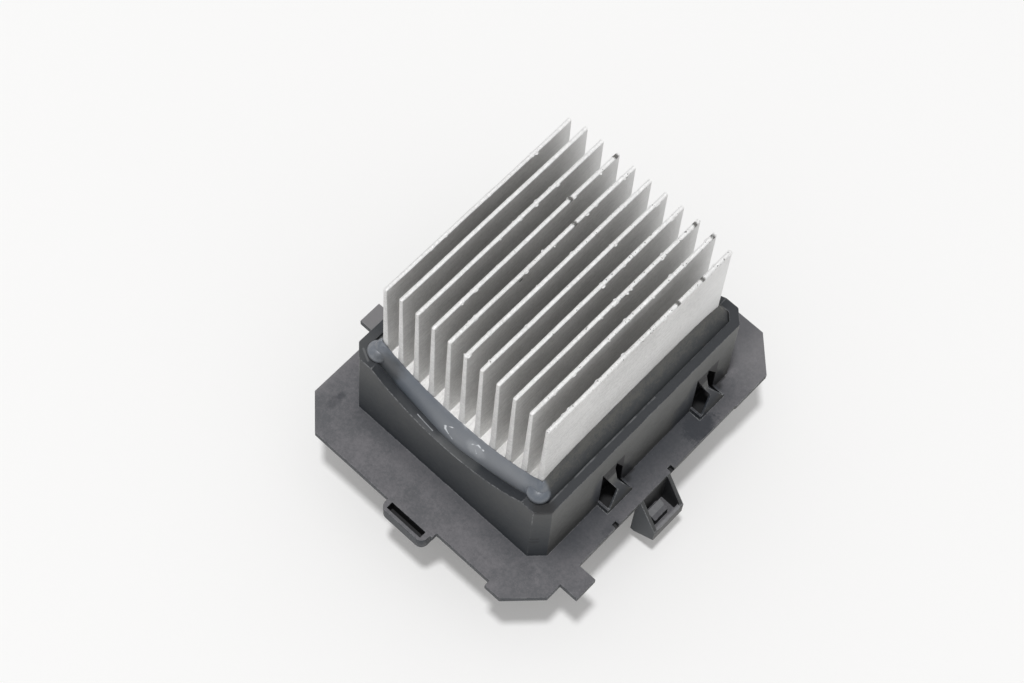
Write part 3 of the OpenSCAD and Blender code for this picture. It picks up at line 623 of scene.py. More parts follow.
        # Walls and flange: painted shade darkens the walls towards the foot, and painted light makes the side walls
        # paler
        rise = (coat.z / 21.0 + (blotch - 0.5) * 0.9 + (grain - 0.5) * 0.8).most(0.0).least(1.0)
        ends = coat.blend(rise, self.end_foot, self.end_top)
        sides = coat.blend(rise, self.side_foot, self.side_top)
        wall = coat.blend(east.size().ramp(0.75, 0.95), ends, sides)
        mottle = (cloud * 0.32 + blotch * 0.25 + grit * 0.22 + grain * 0.21).ramp(0.39, 0.61)
        pale = (coat.x.ramp(-30.0, -33.5) * 0.9).most(coat.y.ramp(24.0, 33.0) * 0.4)
        top = coat.blend(pale, coat.blend(mottle, self.flange_low, self.flange), self.flange_pale)
        tone = coat.blend(level, wall, top)
        # Rim top darker, left paler in the dip and at the left corner; then stains and painted shade
        bare = (coat.block(self.paler_rim_dip, 2.0) * 0.7).most(coat.mark(self.paler_rim_corner) * (0.3 + 0.5 * blotch))
        tone = coat.blend(up.ramp(0.6, 0.8) * coat.z.ramp(14.6, 15.8) * (1 - bare), tone, self.rim)
        tone = coat.blend(self._stains_and_shade(coat, level, blotch, grit), tone, self.stain_and_shade)
        # Pale wear, dust specks and painted highlights along the edges and the inner rim
        speck = coat.pattern(self.speck).ramp(0.76, 0.82)
        front_rim = coat.y.ramp(-28.8, -29.3) * coat.z.ramp(14.0, 15.0)
        proud = self._by_lugs(coat, self.lug_face, 0.3).most(coat.x.ramp(31.0, 31.9))
        wall_edge = coat.z.ramp(1.5, 3.0) * coat.z.ramp(22.0, 19.0)
        wear_and_highlight = (0.38 - 0.28 * wall_edge).most(0.8 * front_rim.most(proud))
        edge = coat.attribute("edge") * (blotch * 0.5 + grit * 0.5).ramp(0.42, 0.62) * wear_and_highlight
        line = (coat.block(self.inner_rim) * coat.pattern(self.broken).ramp(0.35, 0.6)).most(
            coat.stroke(self.worn_corner)
        )
        tone = coat.blend((edge + line * 0.3 + speck * 0.35).least(1.0), tone, self.rubbed_and_lit)
        # Painted shade in the hollows, painted light on the catch tops and a painted shine on the rim
        tone = coat.blend(self._hollows(coat, east, up) * 0.93, tone, self.black)
        catch = coat.block(self.catch_top, 0.15).most(coat.block(self.bar_top))
        tone = coat.blend(catch * up.ramp(0.3, 0.8) * (0.25 + 0.4 * grain), tone, self.rubbed_and_lit)
        tone = coat.blend(coat.stroke(self.shine) * (0.1 + 0.75 * grain), tone, self.glint)
        coat.dress(Base_Color=tone, Roughness=self.roughness + 0.16 * level + 0.12 * (grit - 0.5))
        coat.relief(0.4 * grit + 0.3 * blotch + 0.3 * grain, 0.07, 0.6)
        return coat.material

    def _by_lugs(self, coat: Coat, box: Box, soft: float = 0.05) -> Wire:
        """Box that is the same at each lug, with y from the lug's middle."""
        return largest(
            coat.block(tuple((x, y + lug_y, z) for x, y, z in box), soft) for lug_y in self.lug_ys
        )

    def _stains_and_shade(self, coat: Coat, level: Wire, blotch: Wire, grit: Wire) -> Wire:
        """Dark marks: the strip by the latch darker towards the collar, painted shade along the collar's foot and
        round the lugs, darker patches by the lugs and a smudge.

        Args:
            coat: The material's tree.
            level: 1 on the flange's upper face.
            blotch: Patches of a few millimetres.
            grit: Fine grain.

        Returns:
            Its share.
        """
        ragged = (blotch - 0.5) * 1.3 + (grit - 0.5) * 0.5
        # Strip by the latch, darker towards the collar wall
        inward = coat.x.ramp(34.5, 25.0) * coat.y.ramp(29.0, 21.0) * coat.y.ramp(-33.0, -21.0)
        strip = level * coat.x.ramp(22.5, 25.5) * (inward + inward * ragged * 0.6)
        # Painted shade on the flange and on the front wall where they meet the collar's foot
        foot = level * coat.y.ramp(-35.0, -29.9) * coat.x.size().ramp(27.5, 21.0) * 0.42
        base = coat.z.ramp(1.8, 0.2) * coat.y.ramp(-28.0, -29.4) * (1 - level) * 0.75
        marks = self.dirt + tuple(mark.moved(y) for y in self.lug_ys for mark in self.lug_painted_shade)
        share = (strip.most(0.0) * 0.8).most(foot).most(base)
        return share.most(largest(coat.mark(mark, ragged) for mark in marks)).least(0.95)

    def _hollows(self, coat: Coat, east: Wire, up: Wire) -> Wire:
        """Painted shade, painted near black, in the insides of the lugs, the latch bracket, the notches and the loop's
        slot, beside the lugs and under the right drop; also the dashes marked on a corner.

        Args:
            coat: The material's tree.
            east: How far the surface faces +X.
            up: How far the surface faces +Z.

        Returns:
            Their share.
        """
        deep = coat.x.ramp(25.95, 25.75).most(coat.z.ramp(-0.2, -0.5)).most(east.ramp(-0.1, -0.4))
        steep = up.ramp(0.7, 0.3)
        shares = [coat.block(self.slot_hole, 0.1), coat.mark(self.dark_corner)]
        shares += [coat.block(notch, 0.1) * 0.9 for notch in self.notches]
        shares += [coat.block(self.gusset, 0.1) * steep * 0.93, coat.block(self.bracket, 0.15) * steep * 0.8]
        shares += [coat.stroke(dash) * 0.7 for dash in self.dashes]
        shares.append(self._by_lugs(coat, self.lug_window) * deep)
        for y in self.lug_ys:
            low, high = self.lug_shade
            beyond = coat.block(((low[0], low[1] + y, low[2]), (high[0], high[1] + y, high[2])), 0.5)
            leaf = (17.2 - 2.3 * (coat.y - y) - coat.z).ramp(-1.0, 1.4)
            shares += [beyond * leaf * 0.84, coat.mark(self.lug_foot.moved(y))]
        return largest(shares)


@dataclass(frozen=True)
class ExtrudedAluminium:
    """Dull extruded metal: draw lines along the fins, bright worn tips, specks of dirt, and painted light that makes
    the fin sides paler towards the back and the top.
    """

    name: str = "extruded_aluminium"
    slot: str = "sink"
    face: Colour = (0.68, 0.675, 0.665)
    second_face: Colour = (0.88, 0.875, 0.865)
    rubbed_and_lit: Colour = (0.93, 0.93, 0.925)
    dirt: Colour = (0.05, 0.047, 0.042)
    metallic: float = 0.5
    roughness: float = 0.56
    streak: Pattern = Pattern(1.3, 3.0, 0.55)
    streak_stretch: Point = (2.0, 0.05, 2.0)
    cloud: Pattern = Pattern(0.09, 3.0, 0.55)
    grit: Pattern = Pattern(4.2, 3.0, 0.7, 4.0)
    grain: Pattern = Pattern(1.5, 2.0, 0.6)
    speckle: Pattern = Pattern(2.6, 4.0, 0.7)
    smear: Pattern = Pattern(0.30, 2.0, 0.6)
    torn: Pattern = Pattern(1.5, 3.0, 0.65)
    speck: Pattern = Pattern(1.9, 2.0, 0.5)
    chip_reach: Point = (1.3, 0.7, 0.6)
    chips: tuple[Point, ...] = (
        (-8.0, 11.7, 51.5), (-4.0, 8.5, 51.5), (-3.6, -6.4, 50.3), (16.0, 24.2, 51.4), (-8.0, 24.2, 51.6),
        (20.0, 10.2, 49.9), (12.0, 23.8, 51.5), (20.0, 17.0, 49.9),
    )  # fmt: skip

    def build(self) -> bpy.types.Material:
        """Makes the material.

        Returns:
            The new material.
        """
        coat = Coat(self.name)
        gap = coat.attribute("tip_gap")
        fin = coat.attribute("fin")
        streak = coat.noise(coat.stretched(self.streak_stretch), self.streak, fin)
        cloud = coat.pattern(self.cloud, fin)
        grit = coat.pattern(self.grit)
        grain = coat.pattern(self.grain, fin + 8.0)
        side = (streak * 0.22 + cloud * 0.26 + grit * 0.26 + grain * 0.26).ramp(0.39, 0.61)
        tone = coat.blend(side, self.face, self.second_face)
        # Painted light: fin sides paler towards the back and the top
        tone = coat.blend(coat.y.ramp(11.0, 25.0) * gap.ramp(32.0, 20.0) * 0.6, tone, self.rubbed_and_lit)
        tip = gap.ramp(0.30, 0.05)
        speckle = coat.pattern(self.speckle, fin).ramp(0.40, 0.56)
        smear = self._smears(coat, gap, fin)
        tone = coat.blend(tip * (0.05 + 0.65 * speckle), tone, self.rubbed_and_lit)
        tone = coat.blend(smear, tone, self.rubbed_and_lit)
        dirt = self._dirt(coat, gap, fin, grit)
        tone = coat.blend(dirt, tone, self.dirt)
        coat.dress(
            Base_Color=tone,
            Metallic=self.metallic * (1 - dirt),
            Roughness=self.roughness + 0.14 * (grit - 0.5) + 0.12 * (streak - 0.5) + 0.2 * dirt,
        )
        coat.relief(0.4 * grit + 0.3 * grain + 0.3 * streak + smear * 1.5 + tip * speckle, 0.04, 0.6)
        return coat.material

    def _smears(self, coat: Coat, gap: Wire, fin: Wire) -> Wire:
        """Metal pushed over the edge: bright ragged patches that hang from the tips.

        Args:
            coat: The material's tree.
            gap: Distance from the tip.
            fin: Number of the fin.

        Returns:
            Its share.
        """
        patch = coat.noise(coat.stretched((0.0, 1.0, 0.0)), self.smear, fin * 3.7).ramp(0.50, 0.60)
        return patch * (1 - gap.ramp(0.1, 2.6)) * coat.pattern(self.torn, fin).ramp(0.45, 0.56)

    def _dirt(self, coat: Coat, gap: Wire, fin: Wire, grit: Wire) -> Wire:
        """Small dark specks near the tips, more of them on the right and at the back, and a few chips.

        Args:
            coat: The material's tree.
            gap: Distance from the tip.
            fin: Number of the fin.
            grit: Fine grain.

        Returns:
            Its share.
        """
        more = (fin * 0.012 + coat.y * 0.0012).most(0.0).least(0.12)
        speck = coat.pattern(self.speck, fin + 31.0).ramp(0.735 - more, 0.78 - more)
        specks = gap.ramp(1.6, 0.2) * speck * 0.75
        chips = (coat.spot(chip, self.chip_reach, (grit - 0.5) * 1.2) for chip in self.chips)
        return specks.most(largest(chips) * 0.9)


@dataclass(frozen=True)
class CastResin:
    """Cast potting: a glossy grey-blue skin in front with painted light, painted shade and painted highlights on its
    wrinkles, dull and dirty along the sides and the back.
    """

    name: str = "cast_resin"
    slot: str = "resin"
    # Front skin tones; the blend between them is painted light
    deep: Colour = (0.125, 0.142, 0.168)
    pale: Colour = (0.215, 0.226, 0.245)
    brown: Colour = (0.098, 0.097, 0.090)
    # Dark tone of the dusty sides, also used for painted shade on the front skin
    dull: Colour = (0.052, 0.056, 0.060)
    # Painted highlight on the wrinkles
    wrinkle_highlight: Colour = (0.86, 0.89, 0.93)
    cloud: Pattern = Pattern(0.16, 3.0, 0.5, 9.0)
    blotch: Pattern = Pattern(0.5, 3.0, 0.6, 16.0)
    grit: Pattern = Pattern(2.4, 4.0, 0.7, 6.0)
    wisp: Pattern = Pattern(0.9, 3.0, 0.6, 23.0)
    wisp_stretch: Point = (1.0, 0.35, 1.0)
    broken: Pattern = Pattern(1.1, 2.0, 0.5, 37.0)
    waver: Pattern = Pattern(0.9, 2.0, 0.5, 51.0)
    # Lines of the wrinkles, raised in the bead's mesh and painted with highlights
    folds_and_highlights: tuple[Stroke, ...] = (
        Stroke((-1.9, -26.8, 19.5), (-0.4, -26.4, 20.2), 0.20),
        Stroke((-1.9, -26.8, 19.5), (-2.4, -27.0, 19.0), 0.30),
        Stroke((-2.4, -27.0, 19.0), (-2.1, -27.2, 18.6), 0.28),
        Stroke((-2.1, -27.2, 18.6), (-1.0, -27.4, 18.1), 0.24),
        Stroke((-1.0, -27.4, 18.1), (0.9, -27.7, 17.4), 0.18),
        Stroke((3.7, -26.9, 19.1), (4.4, -26.4, 20.2), 0.34),
        Stroke((4.4, -26.4, 20.2), (5.4, -26.15, 20.8), 0.30),
        Stroke((5.4, -26.15, 20.8), (6.9, -26.2, 20.9), 0.22),
        Stroke((3.7, -26.9, 19.1), (4.7, -27.3, 18.2), 0.26),
        Stroke((5.3, -26.65, 19.8), (5.9, -27.0, 19.0), 0.30),
    )
    sheen: Mark = Mark((5.4, -26.6, 19.6), (2.9, 1.6, 2.4), 0.13, 0.9)
    shade: Mark = Mark((-17.6, -26.6, 22.6), (4.6, 3.0, 4.6), 0.85, 0.8)

    def build(self) -> bpy.types.Material:
        """Makes the material.

        Returns:
            The new material.
        """
        coat = Coat(self.name, Coat_Roughness=0.38, Specular_IOR_Level=0.5)
        front = coat.y.ramp(-24.2, -25.2)
        cloud, blotch, grit = map(coat.pattern, (self.cloud, self.blotch, self.grit))
        wisp = coat.noise(coat.stretched(self.wisp_stretch), self.wisp)
        # Front skin: painted light, paler towards the middle and on the left drop's top; painted shade on the drops'
        # lower sides and beside the left drop
        corner = coat.x.ramp(-17.0, -21.5) * coat.z.ramp(23.6, 25.4)
        swing = (cloud - 0.5) * 0.8 + (grit - 0.5) * 0.35 + (wisp - 0.5) * 2.4 * coat.x.size().ramp(18.5, 20.5)
        light = (coat.x.ramp(-16.0, 10.0) * coat.x.ramp(20.0, 16.0) * 0.7 + corner * 0.25 + swing).most(0.0).least(1.0)
        under = coat.x.size().ramp(19.0, 20.5) * coat.z.ramp(24.7, 23.2) * 0.75
        shade = coat.mark(self.shade, blotch - 0.5).most(under)
        skin = coat.blend(shade, coat.blend(light, self.deep, self.pale), self.dull)
        # Dusty sides and back
        near = coat.x.size().ramp(23.0, 21.2)
        dusty = coat.blend((near * 0.22 + blotch * 0.55 + grit * 0.75).ramp(0.66, 0.98), self.dull, self.brown)
        # Painted highlights along the wrinkles, and a painted sheen
        waver = (coat.pattern(self.waver) - 0.44) * 0.9
        fold = largest(coat.stroke(line, waver) for line in self.folds_and_highlights)
        fold = fold * (0.16 + 0.66 * coat.pattern(self.broken).ramp(0.36, 0.58))
        fold = fold.most(coat.mark(self.sheen, blotch - 0.5))
        coat.dress(
            Base_Color=coat.blend(fold, coat.blend(front, dusty, skin), self.wrinkle_highlight),
            Roughness=0.62 - 0.22 * front + 0.12 * (grit - 0.5),
            Coat_Weight=front * 0.5,
        )
        coat.relief((1 - front) * (grit * 0.8 + blotch * 0.5) + front * cloud * 0.4 + fold * 0.8, 0.10, 0.6)
        return coat.material


def dress_node(node: str, material: bpy.types.Material) -> None:
    """Gives a CAD node its material.

    Args:
        node: Name of the node.
        material: What it shows.
    """
    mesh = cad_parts[node].data
    mesh.materials.clear()
    mesh.materials.append(material)


def new_piece(name: str, vertices: np.ndarray, faces: Sequence[Sequence[int]]) -> bpy.types.Object:
    """Makes a mesh object in the scene.

    Args:
        name: Name of the object and its mesh.
        vertices: Places of the points, one row each.
        faces: Corner numbers of each face.

    Returns:
        The new object.
    """
    mesh = bpy.data.meshes.new(name)
    mesh.from_pydata([tuple(v) for v in vertices], [], [tuple(f) for f in faces])
    mesh.update()
    piece = bpy.data.objects.new(name, mesh)
    bpy.context.scene.collection.objects.link(piece)
    return piece


# Sub-assemblies


@dataclass
class HeatSink:
    """Finned aluminium extrusion, grown from its rule."""

    fins: int = 11
    pitch: float = 4.0 * MM
    tip_thickness: float = 0.8 * MM
    foot_thickness: float = 1.4 * MM
    length: float = 50.2 * MM
    seat: float = 12.6 * MM
    base_top: float = 21.5 * MM
    base_arch: float = 2.2 * MM
    fin_top: float = 51.7 * MM
    outer_drop: float = 1.6 * MM
    root_fillet: float = 0.7 * MM
    tip_round: float = 0.16 * MM
    nick_depth: float = 0.5 * MM
    bow: float = 0.16 * MM
    rows_along: int = 181
    rows_up: int = 14
    burr_radius: float = 0.24 * MM
    burr_density: float = 2.0 / MM**2
    burr_seed: int = 11
    root_depth: float = 1.2 * MM
    end_slack: float = 0.02 * MM
    arch_power: float = 2.4
    row_power: float = 1.7
    bite_share: float = 0.32
    base_columns: int = 83
    outermost: ClassVar[float] = 0.4999
    sway: Pattern = Pattern(0.045, 1.0, 0.4)
    bruise: Pattern = Pattern(0.55, 2.0, 0.55)
    bite: Pattern = Pattern(1.9, 3.0, 0.6)
    clump: Pattern = Pattern(0.3, 2.0, 0.6)
    crumb: Pattern = Pattern(2.4, 2.0, 0.6, 3.0)
    finish: ExtrudedAluminium = field(default_factory=ExtrudedAluminium)

    def build(self) -> bpy.types.Object:
        """Grows the extrusion and lets it stand for its CAD node.

        Returns:
            The piece.
        """
        values = {entry.name: getattr(self, entry.name) for entry in fields(self)}
        growth = Growth("finned_extrusion", {k: v for k, v in values.items() if isinstance(v, (int, float))})
        joined = growth.node("GeometryNodeJoinGeometry")
        fins = self._fins(growth)
        for mesh in (fins, self._burrs(growth, fins), self._base(growth)):
            growth.feed(joined.inputs[0], mesh)
        growth.finish(joined.outputs[0], self.finish.build())
        piece = growth.grow("heat_sink_extrusion")
        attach(piece, "root")
        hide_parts("heat_sink")
        return piece

    def _half_width(self, growth: Growth) -> Wire:
        """Half the width of the base, over the feet of the outer fins."""
        return ((growth.size("fins") - 1) * growth.size("pitch") + growth.size("foot_thickness")) / 2

    def _floor_z(self, growth: Growth, x: Wire) -> Wire:
        """Height of the base between the fins, which climbs towards the sides."""
        out = (x.size() / self._half_width(growth)).least(1.0)
        return growth.size("base_top") + growth.size("base_arch") * out ** growth.size("arch_power")

    def _fins(self, growth: Growth) -> Socket:
        """Tapered fins on a line, with rounded tips, bruised edges and a faint bow.

        Args:
            growth: The tree.

        Returns:
            Their mesh.
        """
        size = growth.size
        half_span = (size("fins") - 1) * size("pitch") / 2
        line = growth.node(
            "GeometryNodeMeshLine",
            {"mode": "OFFSET"},
            {
                "Count": size("fins"),
                "Start Location": growth.vector(-half_span, 0.0, 0.0),
                "Offset": growth.vector(size("pitch"), 0.0, 0.0),
            },
        ).outputs[0]
        line = growth.stored(line, "fin", growth.node("GeometryNodeInputIndex").outputs[0])
        real = growth.copies(line, growth.grid_block(5, size("rows_along"), size("rows_up")))

        # Plain tapered fin with a fillet at its foot
        fin = Wire(growth, growth.attribute("fin"))
        across, along, up = growth.parts(growth.attribute("local", "FLOAT_VECTOR"))
        side = fin - (size("fins") - 1) / 2
        centre = side * size("pitch")
        outer = (side.size() + 0.5) > (size("fins") - 1) / 2
        top = size("fin_top") - outer * size("outer_drop")
        floor = self._floor_z(growth, centre)
        foot = floor - size("root_depth")
        share = 1 - (0.5 - up) ** size("row_power")
        z = foot + (top - foot) * share
        rise = ((z - floor) / (top - floor)).most(0.0)
        taper = size("foot_thickness") + (size("tip_thickness") - size("foot_thickness")) * rise
        fillet = (1 - (z - floor).most(0.0) / size("root_fillet")).most(0.0)
        inner = 1 - outer * (across * side > 0.0)
        width = taper + fillet * fillet * size("root_fillet") * inner
        y = along * size("length")

        # Rounded, bruised and faintly bowed
        path = growth.vector(0.0, y / MM, 0.0)
        sway = growth.noise(path, self.sway, fin * 5.3) - 0.5
        crown = (2 * across) * (2 * across) * size("tip_round")
        bruise = growth.noise(path, self.bruise, fin * 9.1).ramp(0.63, 0.80)
        bite = growth.noise(path, self.bite, fin * 2.9).ramp(0.45, 0.85)
        worn = (bruise + size("bite_share") * bite) * size("nick_depth") * share.ramp(0.955, 1.0)
        z = z - (up > self.outermost) * crown - worn
        x = centre + across * width + sway * 2 * size("bow") * share
        y = y - along.sign() * (along.size() > self.outermost) * crown
        fins = growth.moved(real, growth.vector(x, y, z))
        return growth.stored(fins, "tip_gap", (top - z) / MM)

    def _burrs(self, growth: Growth, fins: Socket) -> Socket:
        """Small torn crumbs of metal, scattered in clumps along the tips.

        Args:
            growth: The tree.
            fins: Mesh of the fins.

        Returns:
            Their mesh.
        """
        gap = Wire(growth, growth.attribute("tip_gap"))
        fin = Wire(growth, growth.attribute("fin"))
        along = growth.parts(growth.node("GeometryNodeInputPosition").outputs[0])[1]
        up = growth.parts(growth.node("GeometryNodeInputNormal").outputs[0])[2]
        clump = growth.noise(growth.vector(0.0, along / MM, 0.0), self.clump, fin * 4.3) > 0.54
        seed, radius = growth.size("burr_seed"), growth.size("burr_radius")
        spread = growth.node(
            "GeometryNodeDistributePointsOnFaces",
            {"distribute_method": "RANDOM"},
            {
                "Mesh": fins,
                "Selection": clump * (gap < 1.2) * (up > 0.5),
                "Density": growth.size("burr_density"),
                "Seed": seed,
            },
        ).outputs[0]
        crumb = growth.node("GeometryNodeMeshIcoSphere", None, {"Radius": radius, 1: 2}).outputs[0]
        girth = growth.node(
            "FunctionNodeRandomValue",
            {"data_type": "FLOAT_VECTOR"},
            {0: (0.5, 0.6, 0.4), 1: (1.5, 2.6, 0.8), "Seed": seed},
        ).outputs[0]
        real = growth.copies(spread, crumb, Scale=girth)
        x, y, z = growth.parts(growth.node("GeometryNodeInputPosition").outputs[0])
        rough = growth.noise(growth.vector(x / MM, y / MM, z / MM), self.crumb) - 0.5
        shift = rough * 0.9 * radius
        torn = growth.moved(real, growth.vector(x + shift, y + shift * 2.0, z - radius))
        return growth.stored(growth.stored(torn, "tip_gap", 0.0), "fin", 5.0)

    def _base(self, growth: Growth) -> Socket:
        """Thick base whose upper face is arched.

        Args:
            growth: The tree.

        Returns:
            Its mesh.
        """
        block = growth.grid_block(growth.size("base_columns"), 3, 3)
        across, along, up = growth.parts(growth.attribute("local", "FLOAT_VECTOR"))
        x = across * 2 * self._half_width(growth)
        y = along * (growth.size("length") - growth.size("end_slack"))
        seat = growth.size("seat")
        z = seat + (self._floor_z(growth, x) - seat) * (up + 0.5)
        base = growth.moved(block, growth.vector(x, y, z))
        base = growth.stored(base, "tip_gap", 30.0)
        return growth.stored(base, "fin", 20.0)


@dataclass
class Potting:
    """Cast bead between the collar and the heat sink, lofted round all four sides."""

    well_half_w: float = 23.3 * MM
    well_half_len: float = 27.5 * MM
    well_corner: float = 1.43 * MM
    sink_half_w: float = 20.7 * MM
    sink_half_len: float = 25.1 * MM
    seat_z: float = 12.6 * MM
    rim_z: float = 22.8 * MM
    dip: float = 6.3 * MM
    dip_half_w: float = 19.6 * MM
    floor_z: float = 21.5 * MM
    side_rise: float = 6.2 * MM
    corner_rise: float = 4.4 * MM
    side_drop: float = 0.8 * MM
    end_drop: float = 2.7 * MM
    side_power: float = 6
    end_power: float = 2.2
    side_slope: float = 1.5
    slope_swing: float = 0.8
    overfill: float = 0.1 * MM
    swell: float = 0.7 * MM
    end_steps: int = 150
    side_steps: int = 120
    corner_steps: int = 14
    rings: int = 26
    lap: float = 0.4 * MM
    lap_reach: float = 9.0 * MM
    drop_r: float = 2.3 * MM
    drop_x: float = 20.75 * MM
    drop_y: float = -26.0 * MM
    drop_z: float = 23.6 * MM
    drop_skirt: float = 1.0 * MM
    drop_shape: Point = (1.06, 0.98, 0.82)
    tuck: float = 0.15 * MM
    slack: float = 0.01 * MM
    crease_deg: float = 50.0
    ripples: Waves = ((0.06, 0.9, 0.7, 0.0), (0.05, 1.9, -0.4, 1.3))
    rags: Waves = ((0.05, 2.3, 1.7, 0.0), (0.04, 5.9, -4.3, 0.6), (0.03, 3.7, 6.1, 2.1))
    fold_h: float = 0.16 * MM
    fold_w: float = 0.3 * MM
    finish: CastResin = field(default_factory=CastResin)

    def build(self) -> bpy.types.Object:
        """Lofts the bead and lets it stand for its CAD node.

        Returns:
            The piece.
        """
        wall = self._stations(self.well_half_w, self.well_half_len, 0.0)
        foot = self._stations(self.sink_half_w, self.sink_half_len, 1.0)
        below = np.column_stack([wall, self._wall_z(wall) - self.tuck])
        rings = [self._level(foot), self._level(wall), below]
        rings += [self._ring(wall, foot, k / self.rings) for k in range(self.rings + 1)]
        count, levels = len(wall), len(rings)
        faces = [
            (
                k * count + i,
                ((k + 1) % levels) * count + i,
                ((k + 1) % levels) * count + (i + 1) % count,
                k * count + (i + 1) % count,
            )
            for k in range(levels)
            for i in range(count)
        ]
        piece = new_piece("potting_bead", np.vstack(rings), faces)
        bm = bmesh.new()
        bm.from_mesh(piece.data)
        for side in (-1, 1):
            middle = Matrix.Translation((side * self.drop_x, self.drop_y, self.drop_z))
            squat = Matrix.Diagonal((*self.drop_shape, 1.0))
            bmesh.ops.create_icosphere(bm, subdivisions=4, radius=self.drop_r, matrix=middle @ squat)
        bmesh.ops.recalc_face_normals(bm, faces=bm.faces)
        bm.to_mesh(piece.data)
        bm.free()
        piece.data.shade_smooth()
        piece.data.set_sharp_from_angle(angle=math.radians(self.crease_deg))
        piece.data.materials.append(self.finish.build())
        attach(piece, "root")
        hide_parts("potting")
        return piece

    def _stations(self, hx: float, hy: float, square: float) -> np.ndarray:
        """Points round a rectangle whose corners are cut.

        Args:
            hx: Half size along X.
            hy: Half size along Y.
            square: 0 follows the cut, 1 goes out to the square corner.

        Returns:
            One row of x and y for each station.
        """
        c = self.well_corner
        p = [
            (-hx + c, -hy), (hx - c, -hy), (hx, -hy + c), (hx, hy - c),
            (hx - c, hy), (-hx + c, hy), (-hx, hy - c), (-hx, -hy + c),
        ]  # fmt: skip
        out: list[np.ndarray] = []
        for k in range(4):
            a, b, d = (np.array(p[j % 8]) for j in (2 * k, 2 * k + 1, 2 * k + 2))
            steps = self.end_steps if k % 2 == 0 else self.side_steps
            out += [a + (b - a) * i / steps for i in range(steps)]
            middle = (b + d) / 2
            corner = np.array((d[0], b[1]) if k % 2 == 0 else (b[0], d[1]))
            tip = middle + (corner - middle) * square
            half = self.corner_steps // 2
            out += [b + (tip - b) * i / half for i in range(half)]
            out += [tip + (d - tip) * i / half for i in range(half)]
        return np.array(out)

    def _level(self, plan: np.ndarray) -> np.ndarray:
        """Stations at the height of the heat sink's seat."""
        return np.column_stack([plan, np.full(len(plan), self.seat_z)])

    def _wall_z(self, plan: np.ndarray) -> np.ndarray:
        """Height at which the bead meets the collar.

        Args:
            plan: Stations on the collar.

        Returns:
            One height for each station.
        """
        x, y = np.abs(plan[:, 0]), np.abs(plan[:, 1])
        r = (self.dip_half_w**2 + self.dip**2) / (2 * self.dip)
        u = np.minimum(1, x / self.dip_half_w)
        dip = self.rim_z - self.dip + r - np.sqrt(np.maximum(r * r - x * x, 0))
        rim = np.where(x < self.dip_half_w, dip, self.rim_z)
        end = rim - self.side_drop - (self.end_drop - self.side_drop) * (1 - u * u)
        return np.where(y > self.well_half_len - self.slack, end, self.rim_z - self.side_drop)

    def _sink_z(self, plan: np.ndarray) -> np.ndarray:
        """Height at which the bead meets the heat sink.

        Args:
            plan: Stations on the heat sink.

        Returns:
            One height for each station.
        """
        x, y = np.abs(plan[:, 0]), np.abs(plan[:, 1])
        corner = self.rim_z + self.corner_rise
        v = np.minimum(1, y / self.sink_half_len)
        end = self.floor_z + (corner - self.floor_z) * np.minimum(1, x / self.sink_half_w) ** self.end_power
        side = corner + (self.side_rise - self.corner_rise) * (1 - v**self.side_power)
        return np.where(y > self.sink_half_len - self.slack, end, side)

    def _ring(self, wall: np.ndarray, foot: np.ndarray, t: float) -> np.ndarray:
        """One ring of the bead.

        Args:
            wall: Stations on the collar.
            foot: Stations on the heat sink.
            t: 0 at the collar and 1 at the heat sink.

        Returns:
            Its points.
        """
        plan = wall + (foot - wall) * t
        low, high = self._wall_z(wall), self._sink_z(foot)
        x, y = plan[:, 0] / MM, plan[:, 1] / MM
        end = np.clip(1 - (self.well_half_len - np.abs(wall[:, 1])) / self.well_corner, 0, 1)
        over = np.where(wall[:, 1] < 0, end, 0) * np.exp(-((plan[:, 0] / self.lap_reach) ** 2))
        low = low + over * (self.end_drop + self.overfill)
        ripple, ragged = (
            sum(height * np.sin(kx * x + ky * y + phase) for height, kx, ky, phase in waves)
            for waves in (self.ripples, self.rags)
        )
        swell = (self.swell + ripple * MM) * math.sin(math.pi * t)
        z = low + (high - low) * t ** (self.side_slope - self.slope_swing * end) + swell + ragged * MM * t**4
        z = z + self._folds(plan, z) * math.sin(math.pi * t) ** 0.5
        off = np.hypot(np.abs(plan[:, 0]) - self.drop_x, plan[:, 1] - self.drop_y)
        z = z + self.drop_skirt * np.exp(-((off / self.drop_r) ** 2)) * math.sin(math.pi * t) ** 0.5
        plan[:, 1] -= over * self.lap * (1 - t) ** 3
        return np.column_stack([plan, z])

    def _folds(self, plan: np.ndarray, z: np.ndarray) -> np.ndarray:
        """Height of the wrinkles in the front skin.

        Args:
            plan: Stations of the ring.
            z: Their height so far.

        Returns:
            What the wrinkles add.
        """
        place = np.column_stack([plan, z])
        added = np.zeros(len(plan))
        for fold in self.finish.folds_and_highlights:
            a, b = np.array(fold.start) * MM, np.array(fold.end) * MM
            share = np.clip((place - a) @ (b - a) / ((b - a) @ (b - a)), 0, 1)
            gap = np.linalg.norm(place - a - share[:, None] * (b - a), axis=1)
            added = np.maximum(added, self.fold_h * np.exp(-((gap / self.fold_w) ** 2)))
        return added


